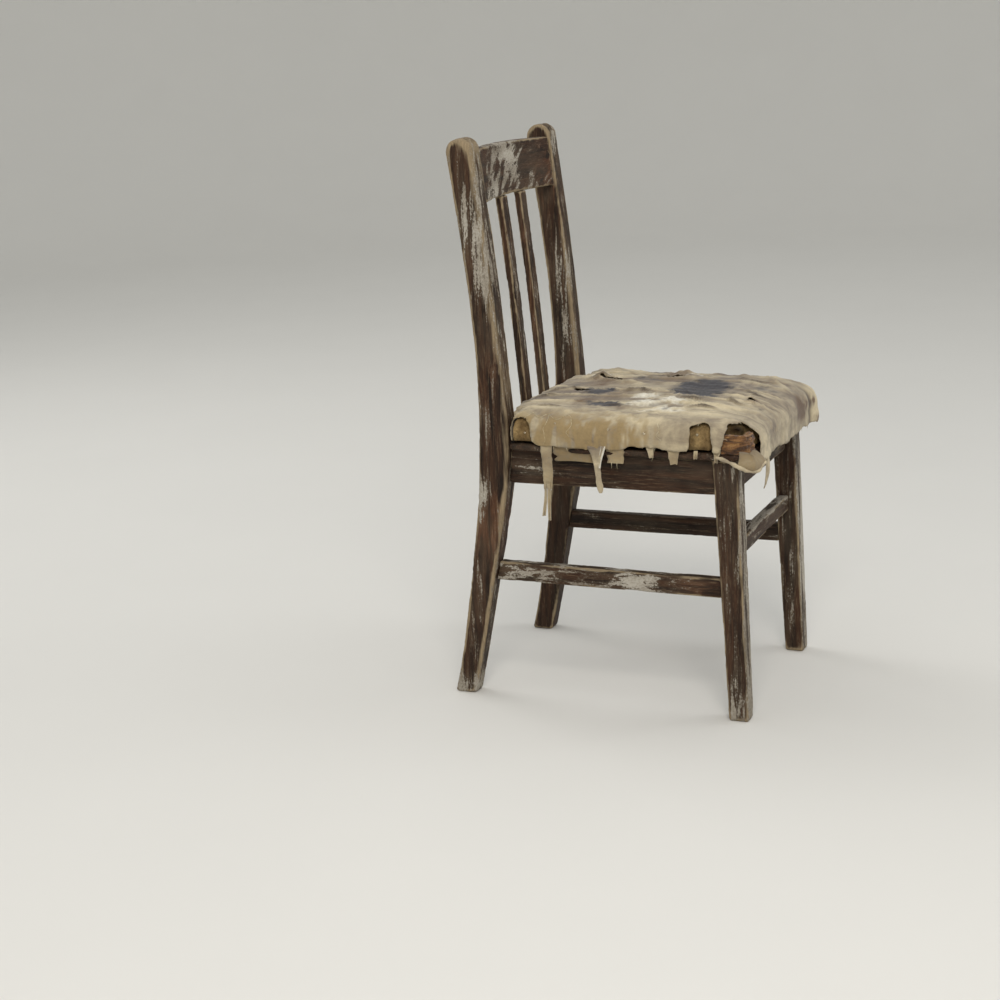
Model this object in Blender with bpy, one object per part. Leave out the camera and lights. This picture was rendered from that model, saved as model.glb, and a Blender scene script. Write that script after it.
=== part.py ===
"""Worn wooden side chair with a torn upholstered seat.

Metres, +Z up, feet on Z = 0, the chair faces -Y. "right" is the sitter's right, at -X.
"""
import math

import bpy
import bmesh
from mathutils import Matrix, Vector

for old in list(bpy.data.objects):
    bpy.data.objects.remove(old, do_unlink=True)

# Clearance between pieces that touch
GAP = 0.0003

# Heights of the seat frame, and of the crest rail above it
FRAME_TOP = 0.400
CREST_TOP = 0.848
BACK_RISE = CREST_TOP - FRAME_TOP

# Back posts: one bent plank each, front and back faces seen from the side
POST_OUTER_X = 0.184
POST_WIDTH_TOP = 0.039
POST_WIDTH_FOOT = 0.029
POST_BEND = [
    (0.000, 0.2050, 0.2405),
    (0.100 * FRAME_TOP, 0.1962, 0.2310),
    (0.225 * FRAME_TOP, 0.1860, 0.2215),
    (0.350 * FRAME_TOP, 0.1765, 0.2135),
    (0.475 * FRAME_TOP, 0.1670, 0.2060),
    (0.600 * FRAME_TOP, 0.1570, 0.1985),
    (0.725 * FRAME_TOP, 0.1480, 0.1915),
    (0.850 * FRAME_TOP, 0.1400, 0.1865),
    (FRAME_TOP, 0.1360, 0.1838),
    (FRAME_TOP + 0.112 * BACK_RISE, 0.1378, 0.1822),
    (FRAME_TOP + 0.246 * BACK_RISE, 0.1425, 0.1825),
    (FRAME_TOP + 0.379 * BACK_RISE, 0.1475, 0.1858),
    (FRAME_TOP + 0.513 * BACK_RISE, 0.1530, 0.1910),
    (FRAME_TOP + 0.714 * BACK_RISE, 0.1625, 0.2015),
    (CREST_TOP, 0.1785, 0.2190),
]
POST_FRONT_ROUND = 0.0085
POST_FOOT_ROUND = 0.0035
POST_EDGE_ROUND = 0.0035

# Front legs: straight, leaning a little forward, tapered on the two inner faces
LEG_OUTER_X = 0.188
LEG_FRONT_FOOT = -0.241
LEG_FRONT_TOP = -0.2258
LEG_SIDE_FOOT = 0.031
LEG_SIDE_TOP = 0.038
LEG_ROUND = 0.003

# Seat frame and stretchers
APRON_HEIGHT = 0.055
APRON_BOTTOM = FRAME_TOP - APRON_HEIGHT
RAIL_INSET = 0.013
APRON_THICK = 0.020
STRETCHER_THICK = 0.018
SIDE_STRETCHER_Z = (0.187, 0.217)
FRONT_STRETCHER_Z = (0.242, 0.268)
RAIL_ROUND = 0.002
REAR_APRON_FRONT = 0.142
REAR_APRON_THICK = 0.022

# Crest rail, bowed backwards between the posts
CREST_HEIGHT = 0.079
CREST_Z = (CREST_TOP - CREST_HEIGHT, CREST_TOP)
CREST_THICK = 0.022
CREST_SET_BACK = 0.003
CREST_BOW = 0.014
CREST_CROWN = 0.002
CREST_ROUND = 0.003

# Two flat upright slats between the crest rail and the rear seat rail
SLAT_OFFSET_X = 0.039
SLAT_WIDTH = 0.026
SLAT_THICK = 0.011
SLAT_SET_BACK = 0.0170
SLAT_ROUND = 0.0015

# Seat board with notches for the back posts
BOARD_THICK = 0.010
SEAT_SIDE_X = 0.190
SEAT_FRONT_Y = -0.246
SEAT_BACK_Y = 0.1300
NOTCH_X = 0.1400
SEAT_BETWEEN_Y = 0.1470

# Padding
PAD_CROWN = 0.006
PAD_SHAPE = [
    (0.0000, 0.0000),
    (-0.0015, 0.0140),
    (0.0000, 0.0270),
    (0.0040, 0.0360),
    (0.0110, 0.0418),
]
PAD_TOP_SCALES = [0.93, 0.80, 0.60, 0.40, 0.20]
PAD_SHOULDER = 0.0460
CORNER_CUT = 0.016
CORNER_CUT_TOP = 0.037
CUT_ROUND = 0.003
WAD_HEIGHT = 0.0215
FRONT_FALL = 0.009
FRONT_FALL_FROM = -0.150
WAD_CLEAR = 0.0005
WAD_REACH = 0.032
TORN_REACH = 0.048

# Torn cloth cover, stiff with dirt
CLOTH_THICK = 0.0016
CLOTH_CLEAR = 0.0008

# Drooping rolled hem at the right front corner
HEM_RADIUS = 0.0034


def material(name, rgb, rough):
    """Plain surface with one colour and roughness."""
    mat = bpy.data.materials.new(name)
    mat.use_nodes = True
    shader = mat.node_tree.nodes["Principled BSDF"]
    shader.inputs["Base Color"].default_value = (rgb[0], rgb[1], rgb[2], 1.0)
    shader.inputs["Roughness"].default_value = rough
    mat.diffuse_color = (rgb[0], rgb[1], rgb[2], 1.0)
    return mat


def solid(name, points, faces, mat):
    """Closed mesh object with its faces turned outward."""
    mesh = bpy.data.meshes.new(name)
    mesh.from_pydata([tuple(p) for p in points], [], faces)
    work = bmesh.new()
    work.from_mesh(mesh)
    bmesh.ops.recalc_face_normals(work, faces=work.faces)
    bmesh.ops.triangulate(work, faces=[f for f in work.faces if len(f.verts) > 4])
    if work.calc_volume(signed=True) < 0.0:
        bmesh.ops.reverse_faces(work, faces=work.faces)
    work.to_mesh(mesh)
    work.free()
    mesh.materials.append(mat)
    obj = bpy.data.objects.new(name, mesh)
    bpy.context.scene.collection.objects.link(obj)
    return obj


def loft(name, rings, mat):
    """Solid through closed rings of equal point count, ends closed round their middle points."""
    count = len(rings[0])
    points = [p for ring in rings for p in ring]
    faces = []
    for level in range(len(rings) - 1):
        low = level * count
        high = low + count
        for i in range(count):
            j = (i + 1) % count
            faces.append((low + i, low + j, high + j))
            faces.append((low + i, high + j, high + i))
    for ring_start in (0, (len(rings) - 1) * count):
        middle = Vector((0.0, 0.0, 0.0))
        for i in range(count):
            middle += Vector(points[ring_start + i])
        points.append(tuple(middle / count))
        for i in range(count):
            faces.append((ring_start + i, ring_start + (i + 1) % count, len(points) - 1))
    return solid(name, points, faces, mat)


def rounded(low_a, high_a, low_b, high_b, radii, steps=3):
    """Rectangle in two axes with one radius per corner, counter-clockwise from low_a, low_b."""
    limit = 0.45 * min(high_a - low_a, high_b - low_b)
    corners = [
        (low_a, low_b, 1, 1, math.pi),
        (high_a, low_b, -1, 1, 1.5 * math.pi),
        (high_a, high_b, -1, -1, 0.0),
        (low_a, high_b, 1, -1, 0.5 * math.pi),
    ]
    out = []
    for (a, b, side_a, side_b, start), radius in zip(corners, radii):
        r = min(radius, limit)
        for s in range(steps + 1):
            angle = start + 0.5 * math.pi * s / steps
            out.append((a + side_a * r + r * math.cos(angle), b + side_b * r + r * math.sin(angle)))
    return out


def between(table, value, column):
    """Straight-line reading of a table of rows that starts with the height."""
    if value <= table[0][0]:
        return table[0][column]
    for low, high in zip(table, table[1:]):
        if value <= high[0]:
            part = (value - low[0]) / (high[0] - low[0])
            return low[column] + part * (high[column] - low[column])
    return table[-1][column]


def post_front(z):
    """Front face of the back posts at a height."""
    return between(POST_BEND, z, 1)


def post_back(z):
    """Back face of the back posts at a height."""
    return between(POST_BEND, z, 2)


def post_width(z):
    """Width of the back posts, tapered on the inner face below the seat."""
    part = min(1.0, z / FRAME_TOP)
    return POST_WIDTH_FOOT + part * (POST_WIDTH_TOP - POST_WIDTH_FOOT)


def leg_side(z):
    """Side of the square front legs at a height."""
    return LEG_SIDE_FOOT + (LEG_SIDE_TOP - LEG_SIDE_FOOT) * z / FRAME_TOP


def leg_front(z):
    """Front face of the front legs at a height."""
    return LEG_FRONT_FOOT + (LEG_FRONT_TOP - LEG_FRONT_FOOT) * z / FRAME_TOP


def leg_back(z):
    """Back face of the front legs at a height."""
    return leg_front(z) + leg_side(z)


def leg_inner(z):
    """Distance from the middle plane to the inner face of the front legs."""
    return LEG_OUTER_X - leg_side(z)


def back_post(name, side, mat):
    """Bent back post with a half-round top; side is -1 for the sitter's right."""
    heights = [row[0] for row in POST_BEND]
    heights += list(SIDE_STRETCHER_Z) + [APRON_BOTTOM]
    sections = []
    for z in sorted(heights):
        foot = POST_FOOT_ROUND + (POST_FRONT_ROUND - POST_FOOT_ROUND) * min(1.0, max(0.0, (z - 0.3) / 0.15))
        sections.append((z, post_front(z), post_back(z), 0.0, foot))
    low = sections[0]
    sections[0] = (0.003, low[1] - 0.0006, low[2] - 0.0006, 0.0, low[4])
    sections.insert(0, (0.0, low[1] + 0.0015, low[2] - 0.0015, 0.0015, low[4]))
    top_z, top_front, top_back = POST_BEND[-1]
    middle = 0.5 * (top_front + top_back)
    half = 0.5 * (top_back - top_front)
    for degrees in (20, 38, 54, 68, 80):
        angle = math.radians(degrees)
        shrink = 0.0035 * (1.0 - math.cos(max(0.0, angle - 0.7)))
        reach = half * math.cos(angle)
        rise = half * math.sin(angle)
        sections.append((top_z + rise, middle - reach, middle + reach, shrink * 2.5, POST_FRONT_ROUND))
    rings = []
    for z, front, back, inset, front_round in sections:
        outer = POST_OUTER_X - inset
        inner = POST_OUTER_X - post_width(z) + inset
        radii = (POST_EDGE_ROUND, front_round, POST_EDGE_ROUND, POST_EDGE_ROUND)
        ring = rounded(inner, outer, front, back, radii)
        rings.append([(side * a, b, z) for a, b in ring])
    return loft(name, rings, mat)


def front_leg(name, side, mat):
    """Straight tapered front leg; side is -1 for the sitter's right."""
    rings = []
    for z, inset in ((0.0, 0.0015), (0.0025, 0.0), (FRAME_TOP, 0.0)):
        low_a = leg_inner(z) + inset
        high_a = LEG_OUTER_X - inset
        ring = rounded(low_a, high_a, leg_front(z) + inset, leg_back(z) - inset, (LEG_ROUND,) * 4)
        rings.append([(side * a, b, z) for a, b in ring])
    return loft(name, rings, mat)


def side_rail(name, side, z_range, thick, mat):
    """Rail from the back of a front leg to the front of the back post on the same side."""
    rings = []
    for end in (0, 1):
        outer = (LEG_OUTER_X if end == 0 else POST_OUTER_X) - RAIL_INSET
        ring = rounded(outer - thick, outer, z_range[0], z_range[1], (RAIL_ROUND,) * 4)
        if end == 0:
            rings.append([(side * a, leg_back(b) + GAP, b) for a, b in ring])
        else:
            rings.append([(side * a, post_front(b) - GAP, b) for a, b in ring])
    return loft(name, rings, mat)


def cross_rail(name, y_low, y_high, z_range, reach, mat):
    """Rail across the chair; reach gives its half length at a height."""
    ring = rounded(y_low, y_high, z_range[0], z_range[1], (RAIL_ROUND,) * 4)
    rings = [[(side * (reach(b) - GAP), a, b) for a, b in ring] for side in (-1, 1)]
    return loft(name, rings, mat)


def post_inner(z):
    """Distance from the middle plane to the inner face of the back posts."""
    return POST_OUTER_X - post_width(z)


def crest_drop(x):
    """How far the crest rail bows backwards at a place along its length."""
    part = x / post_inner(CREST_Z[0])
    return CREST_BOW * (1.0 - part * part)


def crest_rail(mat):
    """Top rail, following the slope of the posts and bowed backwards."""
    end = post_inner(CREST_Z[0]) - GAP
    rings = []
    for i in range(13):
        x = -end + 2.0 * end * i / 12
        crown = CREST_CROWN * (1.0 - (x / end) ** 2)
        ring = rounded(0.0, CREST_THICK, CREST_Z[0] + crown, CREST_Z[1] + crown, (CREST_ROUND,) * 4)
        points = []
        for a, b in ring:
            points.append((x, post_front(b) + CREST_SET_BACK + crest_drop(x) + a, b))
        rings.append(points)
    return loft("crest_rail", rings, mat)


def slat(name, middle, mat):
    """Flat upright slat parallel to the posts."""
    bottom = FRAME_TOP + GAP
    top = CREST_Z[0] + CREST_CROWN * (1.0 - ((abs(middle) + 0.5 * SLAT_WIDTH) / post_inner(CREST_Z[0])) ** 2) - GAP
    heights = [bottom] + [row[0] for row in POST_BEND if bottom < row[0] < top] + [top]
    rings = []
    for z in heights:
        front = post_front(z) + SLAT_SET_BACK
        ring = rounded(middle - 0.5 * SLAT_WIDTH, middle + 0.5 * SLAT_WIDTH, front, front + SLAT_THICK,
                       (SLAT_ROUND,) * 4, 2)
        rings.append([(a, b, z) for a, b in ring])
    return loft(name, rings, mat)


# Places along the right side (front to back) where the cloth is torn, ripped or hangs
RIGHT_SIDE_Y = [
    -0.2130, -0.1990, -0.1860, -0.1700, -0.1530, -0.1370, -0.1180, -0.1050,
    -0.0930, -0.0810, -0.0650, -0.0490, -0.0350, -0.0240, -0.0090, 0.0060, 0.0200,
    0.0400, 0.0610, 0.0700, 0.0800, 0.0960, 0.1140,
]
FRONT_X = [
    -0.155, -0.130, -0.108, -0.085, -0.060, -0.035, -0.010, 0.015, 0.040,
    0.065, 0.090, 0.115, 0.135, 0.155,
]
LEFT_SIDE_Y = [-0.205, -0.180, -0.155, -0.130, -0.100, -0.070, -0.040, -0.010, 0.020, 0.050, 0.080, 0.110]
CORNER_ROUND = 0.020


def seat_outline():
    """Plan of the padding: points with outward directions, from the right front corner leftwards."""
    out = []

    def corner(x, y, side_x, start):
        for s in range(4):
            angle = math.radians(start + 90.0 * s / 3)
            a = math.cos(angle)
            b = math.sin(angle)
            out.append((x + CORNER_ROUND * a, y + CORNER_ROUND * b, a, b))

    corner(-SEAT_SIDE_X + CORNER_ROUND, SEAT_FRONT_Y + CORNER_ROUND, -1, 180.0)
    for x in FRONT_X:
        out.append((x, SEAT_FRONT_Y, 0.0, -1.0))
    corner(SEAT_SIDE_X - CORNER_ROUND, SEAT_FRONT_Y + CORNER_ROUND, 1, 270.0)
    for y in LEFT_SIDE_Y:
        out.append((SEAT_SIDE_X, y, 1.0, 0.0))
    diagonal = math.sqrt(0.5)
    out.append((SEAT_SIDE_X, SEAT_BACK_Y, diagonal, diagonal))
    out.append((0.165, SEAT_BACK_Y, 0.0, 1.0))
    out.append((NOTCH_X, SEAT_BACK_Y, 0.3, 0.9))
    out.append((NOTCH_X - 0.002, SEAT_BETWEEN_Y, 0.5, 0.8))
    for i in range(1, 10):
        out.append(((NOTCH_X - 0.002) * (1.0 - 0.2 * i), SEAT_BETWEEN_Y, 0.0, 1.0))
    out.append((-NOTCH_X + 0.002, SEAT_BETWEEN_Y, -0.5, 0.8))
    out.append((-NOTCH_X, SEAT_BACK_Y, -0.3, 0.9))
    out.append((-0.165, SEAT_BACK_Y, 0.0, 1.0))
    out.append((-SEAT_SIDE_X, SEAT_BACK_Y, -diagonal, diagonal))
    for y in reversed(RIGHT_SIDE_Y):
        out.append((-SEAT_SIDE_X, y, -1.0, 0.0))
    return out


OUTLINE = seat_outline()
def seat_board(mat):
    """Board over the seat frame, in the plan of the padding, with a notch round each back post."""
    plan = [(x, y) for x, y, a, b in OUTLINE]
    outline = []
    for i, (x, y) in enumerate(plan):
        before = plan[i - 1]
        after = plan[(i + 1) % len(plan)]
        turn = (x - before[0]) * (after[1] - y) - (y - before[1]) * (after[0] - x)
        if abs(turn) > 1e-9:
            outline.append((x, y))
    low = FRAME_TOP + GAP
    high = low + BOARD_THICK
    count = len(outline)
    points = [(x, y, low) for x, y in outline] + [(x, y, high) for x, y in outline]
    faces = [tuple(range(count - 1, -1, -1)), tuple(range(count, 2 * count))]
    for i in range(count):
        j = (i + 1) % count
        faces.append((i, j, count + j, count + i))
    return solid("seat_board", points, faces, mat)


PAD_BOTTOM = FRAME_TOP + GAP + BOARD_THICK + GAP
SEAT_MIDDLE = (0.0, 0.5 * (SEAT_FRONT_Y + SEAT_BETWEEN_Y))


def is_torn_corner(x, y):
    """True for the outline round the right front corner, where the padding is broken away."""
    return x < -SEAT_SIDE_X + TORN_REACH and y < SEAT_FRONT_Y + TORN_REACH


def front_fall(y):
    """How far the padding sinks towards its worn front edge."""
    part = min(1.0, max(0.0, (FRONT_FALL_FROM - y) / (FRONT_FALL_FROM - SEAT_FRONT_Y)))
    return FRONT_FALL * part * part


def lumps(x, y):
    """Uneven top of the old padding."""
    wave = math.sin(31.0 * x + 0.6) * math.sin(27.0 * y + 1.1)
    fine = math.sin(63.0 * x + 2.1 + 18.0 * y) * math.sin(57.0 * y - 0.4)
    return 0.0016 * wave + 0.0009 * fine


def cut_corner(x, y, a, b):
    """Outline point moved in to the broken face at the right front corner."""
    if x < -SEAT_SIDE_X + CORNER_ROUND + 0.0005 and y < SEAT_FRONT_Y + CORNER_ROUND + 0.0005:
        middle_x = -SEAT_SIDE_X + CORNER_CUT + CUT_ROUND
        middle_y = SEAT_FRONT_Y + CORNER_CUT + CUT_ROUND
        return (middle_x + CUT_ROUND * a, middle_y + CUT_ROUND * b)
    return (x - a * CORNER_CUT, y - b * CORNER_CUT)


def pad_rings(offset, cut):
    """Rings of the padding's skin, grown outwards by an offset."""
    rings = []
    for inset, rise in PAD_SHAPE:
        slope = min(1.0, max(0.0, (rise - 0.027) / 0.019))
        ring = []
        for x, y, a, b in OUTLINE:
            if cut and is_torn_corner(x, y) and rise < CORNER_CUT_TOP:
                ring.append((*cut_corner(x, y, a, b), PAD_BOTTOM + rise * (1.0 - front_fall(y) / PAD_SHOULDER)))
                continue
            out = offset * (1.0 - 0.6 * slope) - inset
            height = rise * (1.0 - front_fall(y) / PAD_SHOULDER)
            ring.append((x + a * out, y + b * out, PAD_BOTTOM + height + offset * slope))
        rings.append(ring)
    edge = rings[-1]
    top = PAD_BOTTOM + PAD_SHOULDER + offset
    for scale in PAD_TOP_SCALES:
        ring = []
        for px, py, pz in edge:
            x = SEAT_MIDDLE[0] + (px - SEAT_MIDDLE[0]) * scale
            y = SEAT_MIDDLE[1] + (py - SEAT_MIDDLE[1]) * scale
            bulge = PAD_CROWN * (1.0 - scale * scale) + lumps(x, y) * (1.0 - scale ** 4)
            ring.append((x, y, top + bulge - front_fall(y)))
        rings.append(ring)
    return rings


def torn_cover(mat):
    """Cloth over the padding: one sheet with a skirt, rips, missing pieces and hanging strips."""
    base = pad_rings(CLOTH_CLEAR, 0.0)
    count = len(OUTLINE)
    rows = []
    for level, ring in enumerate(base):
        row = []
        for i, (px, py, pz) in enumerate(ring):
            x, y, a, b = OUTLINE[i]
            ripple = 0.5 + 0.5 * math.sin(2.1 * i + 0.7 * level) * math.cos(0.9 * i)
            if y > 0.12 and level < 4:
                ripple = 0.0
            if level < 4:
                grow = 0.0014 * ripple
                row.append([px + a * grow, py + b * grow, pz])
            else:
                fade = min(1.0, math.hypot(px, py - SEAT_MIDDLE[1]) / 0.15)
                row.append([px, py, pz + 0.0024 * ripple * fade * fade])
        rows.append(row)
    first = index_of(-0.1860)
    for level, narrow in enumerate(STRIP_NARROW):
        for i in (first, first + 2):
            rows[level][i][1] = OUTLINE[first + 1][1] + (rows[level][i][1] - OUTLINE[first + 1][1]) * narrow
    for level in range(4):
        for i in (index_of(-0.1530), first, 4, len(OUTLINE) - 1):
            rows[level][i][2] += 0.0012 * math.sin(5.0 * level + i)
    hem_row = []
    for i, (px, py, pz) in enumerate(rows[0]):
        x, y, a, b = OUTLINE[i]
        hang = HANG_FRONT if y < SEAT_FRONT_Y + 0.02 and x > -0.16 else HANG_SIDE
        hang += 0.002 * math.sin(3.7 * i)
        reach = 0.004 if hang > 0.008 else 0.0006
        hem_y = py + b * reach
        if i in (first, first + 2):
            hem_y = OUTLINE[first + 1][1] + (py - OUTLINE[first + 1][1]) * 0.7
        hem_row.append([px + a * reach, hem_y, pz - hang])
    rows.insert(0, hem_row)
    points = [tuple(p) for row in rows for p in row]
    levels = len(rows)
    middle = Vector((0.0, 0.0, 0.0))
    for i in range(count):
        middle += Vector(points[(levels - 1) * count + i])
    middle /= count
    points.append(tuple(middle))
    centre = len(points) - 1
    faces = []
    for level in range(levels - 1):
        for i in range(count):
            if missing(level, i):
                continue
            j = (i + 1) % count
            low = level * count
            faces.append((low + i, low + j, low + count + j))
            faces.append((low + i, low + count + j, low + count + i))
    for i in range(count):
        faces.append(((levels - 1) * count + i, (levels - 1) * count + (i + 1) % count, centre))
    for first, last, steps in STRIPS:
        columns = [(first + k) % count for k in range(last - first + 1)]
        columns = list(columns)
        start_row = 0
        previous = [start_row * count + c for c in columns]
        for shift_y, drop, width, out in steps:
            current = []
            top = [Vector(points[c]) for c in columns]
            centre_point = sum(top, Vector((0.0, 0.0, 0.0))) / len(top)
            on_front = abs(OUTLINE[columns[0]][1] - SEAT_FRONT_Y) < 0.001
            for k, p in enumerate(top):
                along = (p - centre_point) * width
                if on_front:
                    points.append((centre_point.x + shift_y + along.x, p.y - out, p.z - drop))
                else:
                    points.append((p.x - out, centre_point.y + shift_y + along.y, p.z - drop))
                current.append(len(points) - 1)
            for k in range(len(columns) - 1):
                faces.append((previous[k], previous[k + 1], current[k + 1], current[k]))
            previous = current
    used = sorted({v for f in faces for v in f})
    place = {v: n for n, v in enumerate(used)}
    points = [points[v] for v in used]
    faces = [tuple(place[v] for v in f) for f in faces]
    return thicken("seat_cover", points, faces, CLOTH_THICK, mat)


def thicken(name, points, faces, thick, mat):
    """Closed shell from one sheet: the sheet, a copy moved outwards and walls along every free edge."""
    mesh = bpy.data.meshes.new(name + "_sheet")
    mesh.from_pydata(points, [], faces)
    work = bmesh.new()
    work.from_mesh(mesh)
    bmesh.ops.recalc_face_normals(work, faces=work.faces)
    work.verts.ensure_lookup_table()
    up = max(work.faces, key=lambda f: f.calc_center_median().z)
    if up.normal.z < 0.0:
        bmesh.ops.reverse_faces(work, faces=work.faces)
    work.normal_update()
    inner = [v.co.copy() for v in work.verts]
    outer = [v.co + v.normal * thick for v in work.verts]
    count = len(inner)
    quads = []
    for f in work.faces:
        loop = [v.index for v in f.verts]
        quads.append(tuple(reversed(loop)))
        quads.append(tuple(count + v for v in loop))
    for e in work.edges:
        if len(e.link_faces) == 1:
            loop = e.link_loops[0]
            a = loop.vert.index
            b = loop.link_loop_next.vert.index
            quads.append((a, b, count + b, count + a))
    work.free()
    bpy.data.meshes.remove(mesh)
    return solid(name, [tuple(p) for p in inner + outer], quads, mat)


# How far the cloth hangs below the padding
HANG_SIDE = 0.0035
HANG_FRONT = 0.0120


def index_of(y):
    """Outline number of a place on the right side."""
    best = min(range(len(OUTLINE)), key=lambda i: abs(OUTLINE[i][1] - y) + 10.0 * abs(OUTLINE[i][0] + SEAT_SIDE_X))
    return best


def front_index(x):
    """Outline number of a place on the front."""
    return min(range(4, 4 + len(FRONT_X)), key=lambda i: abs(OUTLINE[i][0] - x))


# How narrow the last strip before the torn corner gets on its way down, from the hem upwards
STRIP_NARROW = [0.34, 0.48, 0.66, 0.86]

# Rips in the skirt: from and to along the right side, and the levels between which cloth is gone
RIPS = [
    (-0.1530, -0.1860, 0, 4),
    (0.1300, 0.0800, 0, 1),
    (0.0610, 0.0400, 0, 1),
    (-0.0490, -0.0810, 0, 1),
    (-0.0930, -0.1180, 0, 1),
]


# Holes worn through the cloth on top: level and outline number of each missing patch
TOP_HOLES = [(6, 8), (7, 24)]


def missing(level, i):
    """True where the skirt of the cover is torn away."""
    x, y, a, b = OUTLINE[i]
    following = OUTLINE[(i + 1) % len(OUTLINE)]
    if level == 0 and max(y, following[1]) > SEAT_BACK_Y - 0.001:
        return True
    if i == len(OUTLINE) - 1:
        return level < 4
    if i < 3:
        return level < 4
    if (level, i) in TOP_HOLES:
        return True
    for start, end, low, high in RIPS:
        first = index_of(start)
        last = index_of(end)
        if first <= i < last and low <= level < high:
            return True
    return False


# Hanging strips: two outline numbers, then rows of shift along Y, drop, width factor and distance out
STRIPS = [
    (index_of(0.0800), index_of(0.0610), [
        (0.000, 0.020, 0.80, 0.000),
        (0.001, 0.045, 0.70, 0.000),
        (0.001, 0.062, 0.60, 0.000),
        (0.000, 0.080, 0.35, 0.000),
        (-0.001, 0.108, 0.28, 0.000),
    ]),
    (index_of(0.0400), index_of(0.0060), [
        (0.004, 0.008, 0.90, 0.000),
        (0.010, 0.019, 0.55, 0.000),
    ]),
    (index_of(0.0060), index_of(-0.0240), [
        (-0.001, 0.014, 0.62, 0.000),
        (-0.003, 0.030, 0.34, 0.000),
        (-0.005, 0.048, 0.30, 0.000),
        (-0.007, 0.057, 0.45, 0.000),
        (-0.008, 0.066, 0.22, 0.000),
    ]),
    (index_of(-0.0240), index_of(-0.0490), [
        (0.001, 0.010, 0.85, 0.000),
        (0.002, 0.020, 0.50, 0.000),
    ]),
    (front_index(-0.1300), front_index(-0.1080), [
        (0.000, 0.010, 0.75, 0.000),
        (0.000, 0.022, 0.45, 0.001),
        (-0.003, 0.034, 0.32, 0.001),
        (-0.008, 0.044, 0.30, 0.001),
        (-0.016, 0.050, 0.26, 0.000),
        (-0.024, 0.052, 0.14, 0.000),
    ]),
    (index_of(-0.1180), index_of(-0.1370), [
        (0.000, 0.008, 0.80, 0.000),
        (0.002, 0.016, 0.40, 0.000),
    ]),
]


def seat_pad(mat):
    """Old padding, broken away at the right front corner below its top layer."""
    rings = pad_rings(0.0, 1.0)
    return loft("seat_pad", rings, mat)


def corner_wad(mat):
    """Inner stuffing showing where the padding is broken away."""
    low_x = -SEAT_SIDE_X + 0.0010
    low_y = SEAT_FRONT_Y + 0.0010
    face_x = -SEAT_SIDE_X + CORNER_CUT - WAD_CLEAR
    face_y = SEAT_FRONT_Y + CORNER_CUT - WAD_CLEAR
    end_x = -SEAT_SIDE_X + WAD_REACH
    end_y = SEAT_FRONT_Y + 1.4 * WAD_REACH
    outline = []
    for s in range(5):
        angle = math.radians(180.0 + 90.0 * s / 4)
        outline.append((low_x + CORNER_ROUND * (1 + math.cos(angle)), low_y + CORNER_ROUND * (1 + math.sin(angle))))
    outline.append((end_x, low_y))
    outline.append((end_x, face_y))
    outline.append((face_x, face_y))
    outline.append((face_x, end_y))
    outline.append((low_x, end_y))
    rings = []
    for rise, inset in ((0.0, 0.0), (0.006, -0.0005), (0.0125, 0.0009), (0.018, 0.0), (WAD_HEIGHT, 0.0018)):
        ring = []
        for x, y in outline:
            a = 1.0 if x < face_x - 0.001 else 0.0
            b = 1.0 if y < face_y - 0.001 else 0.0
            ring.append((x + a * inset, y + b * inset, PAD_BOTTOM + GAP + rise))
        rings.append(ring)
    count = len(outline)
    points = [p for ring in rings for p in ring]
    faces = [tuple(range(count - 1, -1, -1)), tuple(range(4 * count, 5 * count))]
    for level in range(4):
        for i in range(count):
            j = (i + 1) % count
            low = level * count
            faces.append((low + i, low + j, low + count + j, low + count + i))
    return solid("corner_wad", points, faces, mat)


# Places along the hem, from the corner of the seat at the height of the seat frame's top
HEM_PATH = [
    (-0.0068, 0.0500, 0.0080),
    (-0.0076, 0.0420, 0.0065),
    (-0.0080, 0.0310, 0.0025),
    (-0.0088, 0.0170, -0.0030),
    (-0.0085, 0.0040, -0.0085),
    (-0.0045, -0.0070, -0.0115),
    (0.0045, -0.0120, -0.0105),
    (0.0160, -0.0135, -0.0065),
    (0.0280, -0.0150, -0.0025),
]


def rolled_hem(mat):
    """Torn edge of the cover rolled into a cord that sags round the right front corner."""
    rings = []
    steps = 8
    path = [(x - SEAT_SIDE_X, y + SEAT_FRONT_Y, z + FRAME_TOP) for x, y, z in HEM_PATH]
    for n, here in enumerate(path):
        before = Vector(path[max(0, n - 1)])
        after = Vector(path[min(len(path) - 1, n + 1)])
        along = (after - before).normalized()
        side = along.cross(Vector((0.0, 0.0, 1.0))).normalized()
        up = side.cross(along)
        radius = HEM_RADIUS * (0.7 if n in (0, len(path) - 1) else 1.0 + 0.12 * math.sin(2.3 * n))
        ring = []
        for s in range(steps):
            angle = 2.0 * math.pi * s / steps
            ring.append(tuple(Vector(here) + (side * math.cos(angle) + up * math.sin(angle)) * radius))
        rings.append(ring)
    return loft("rolled_hem", rings, mat)


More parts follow.
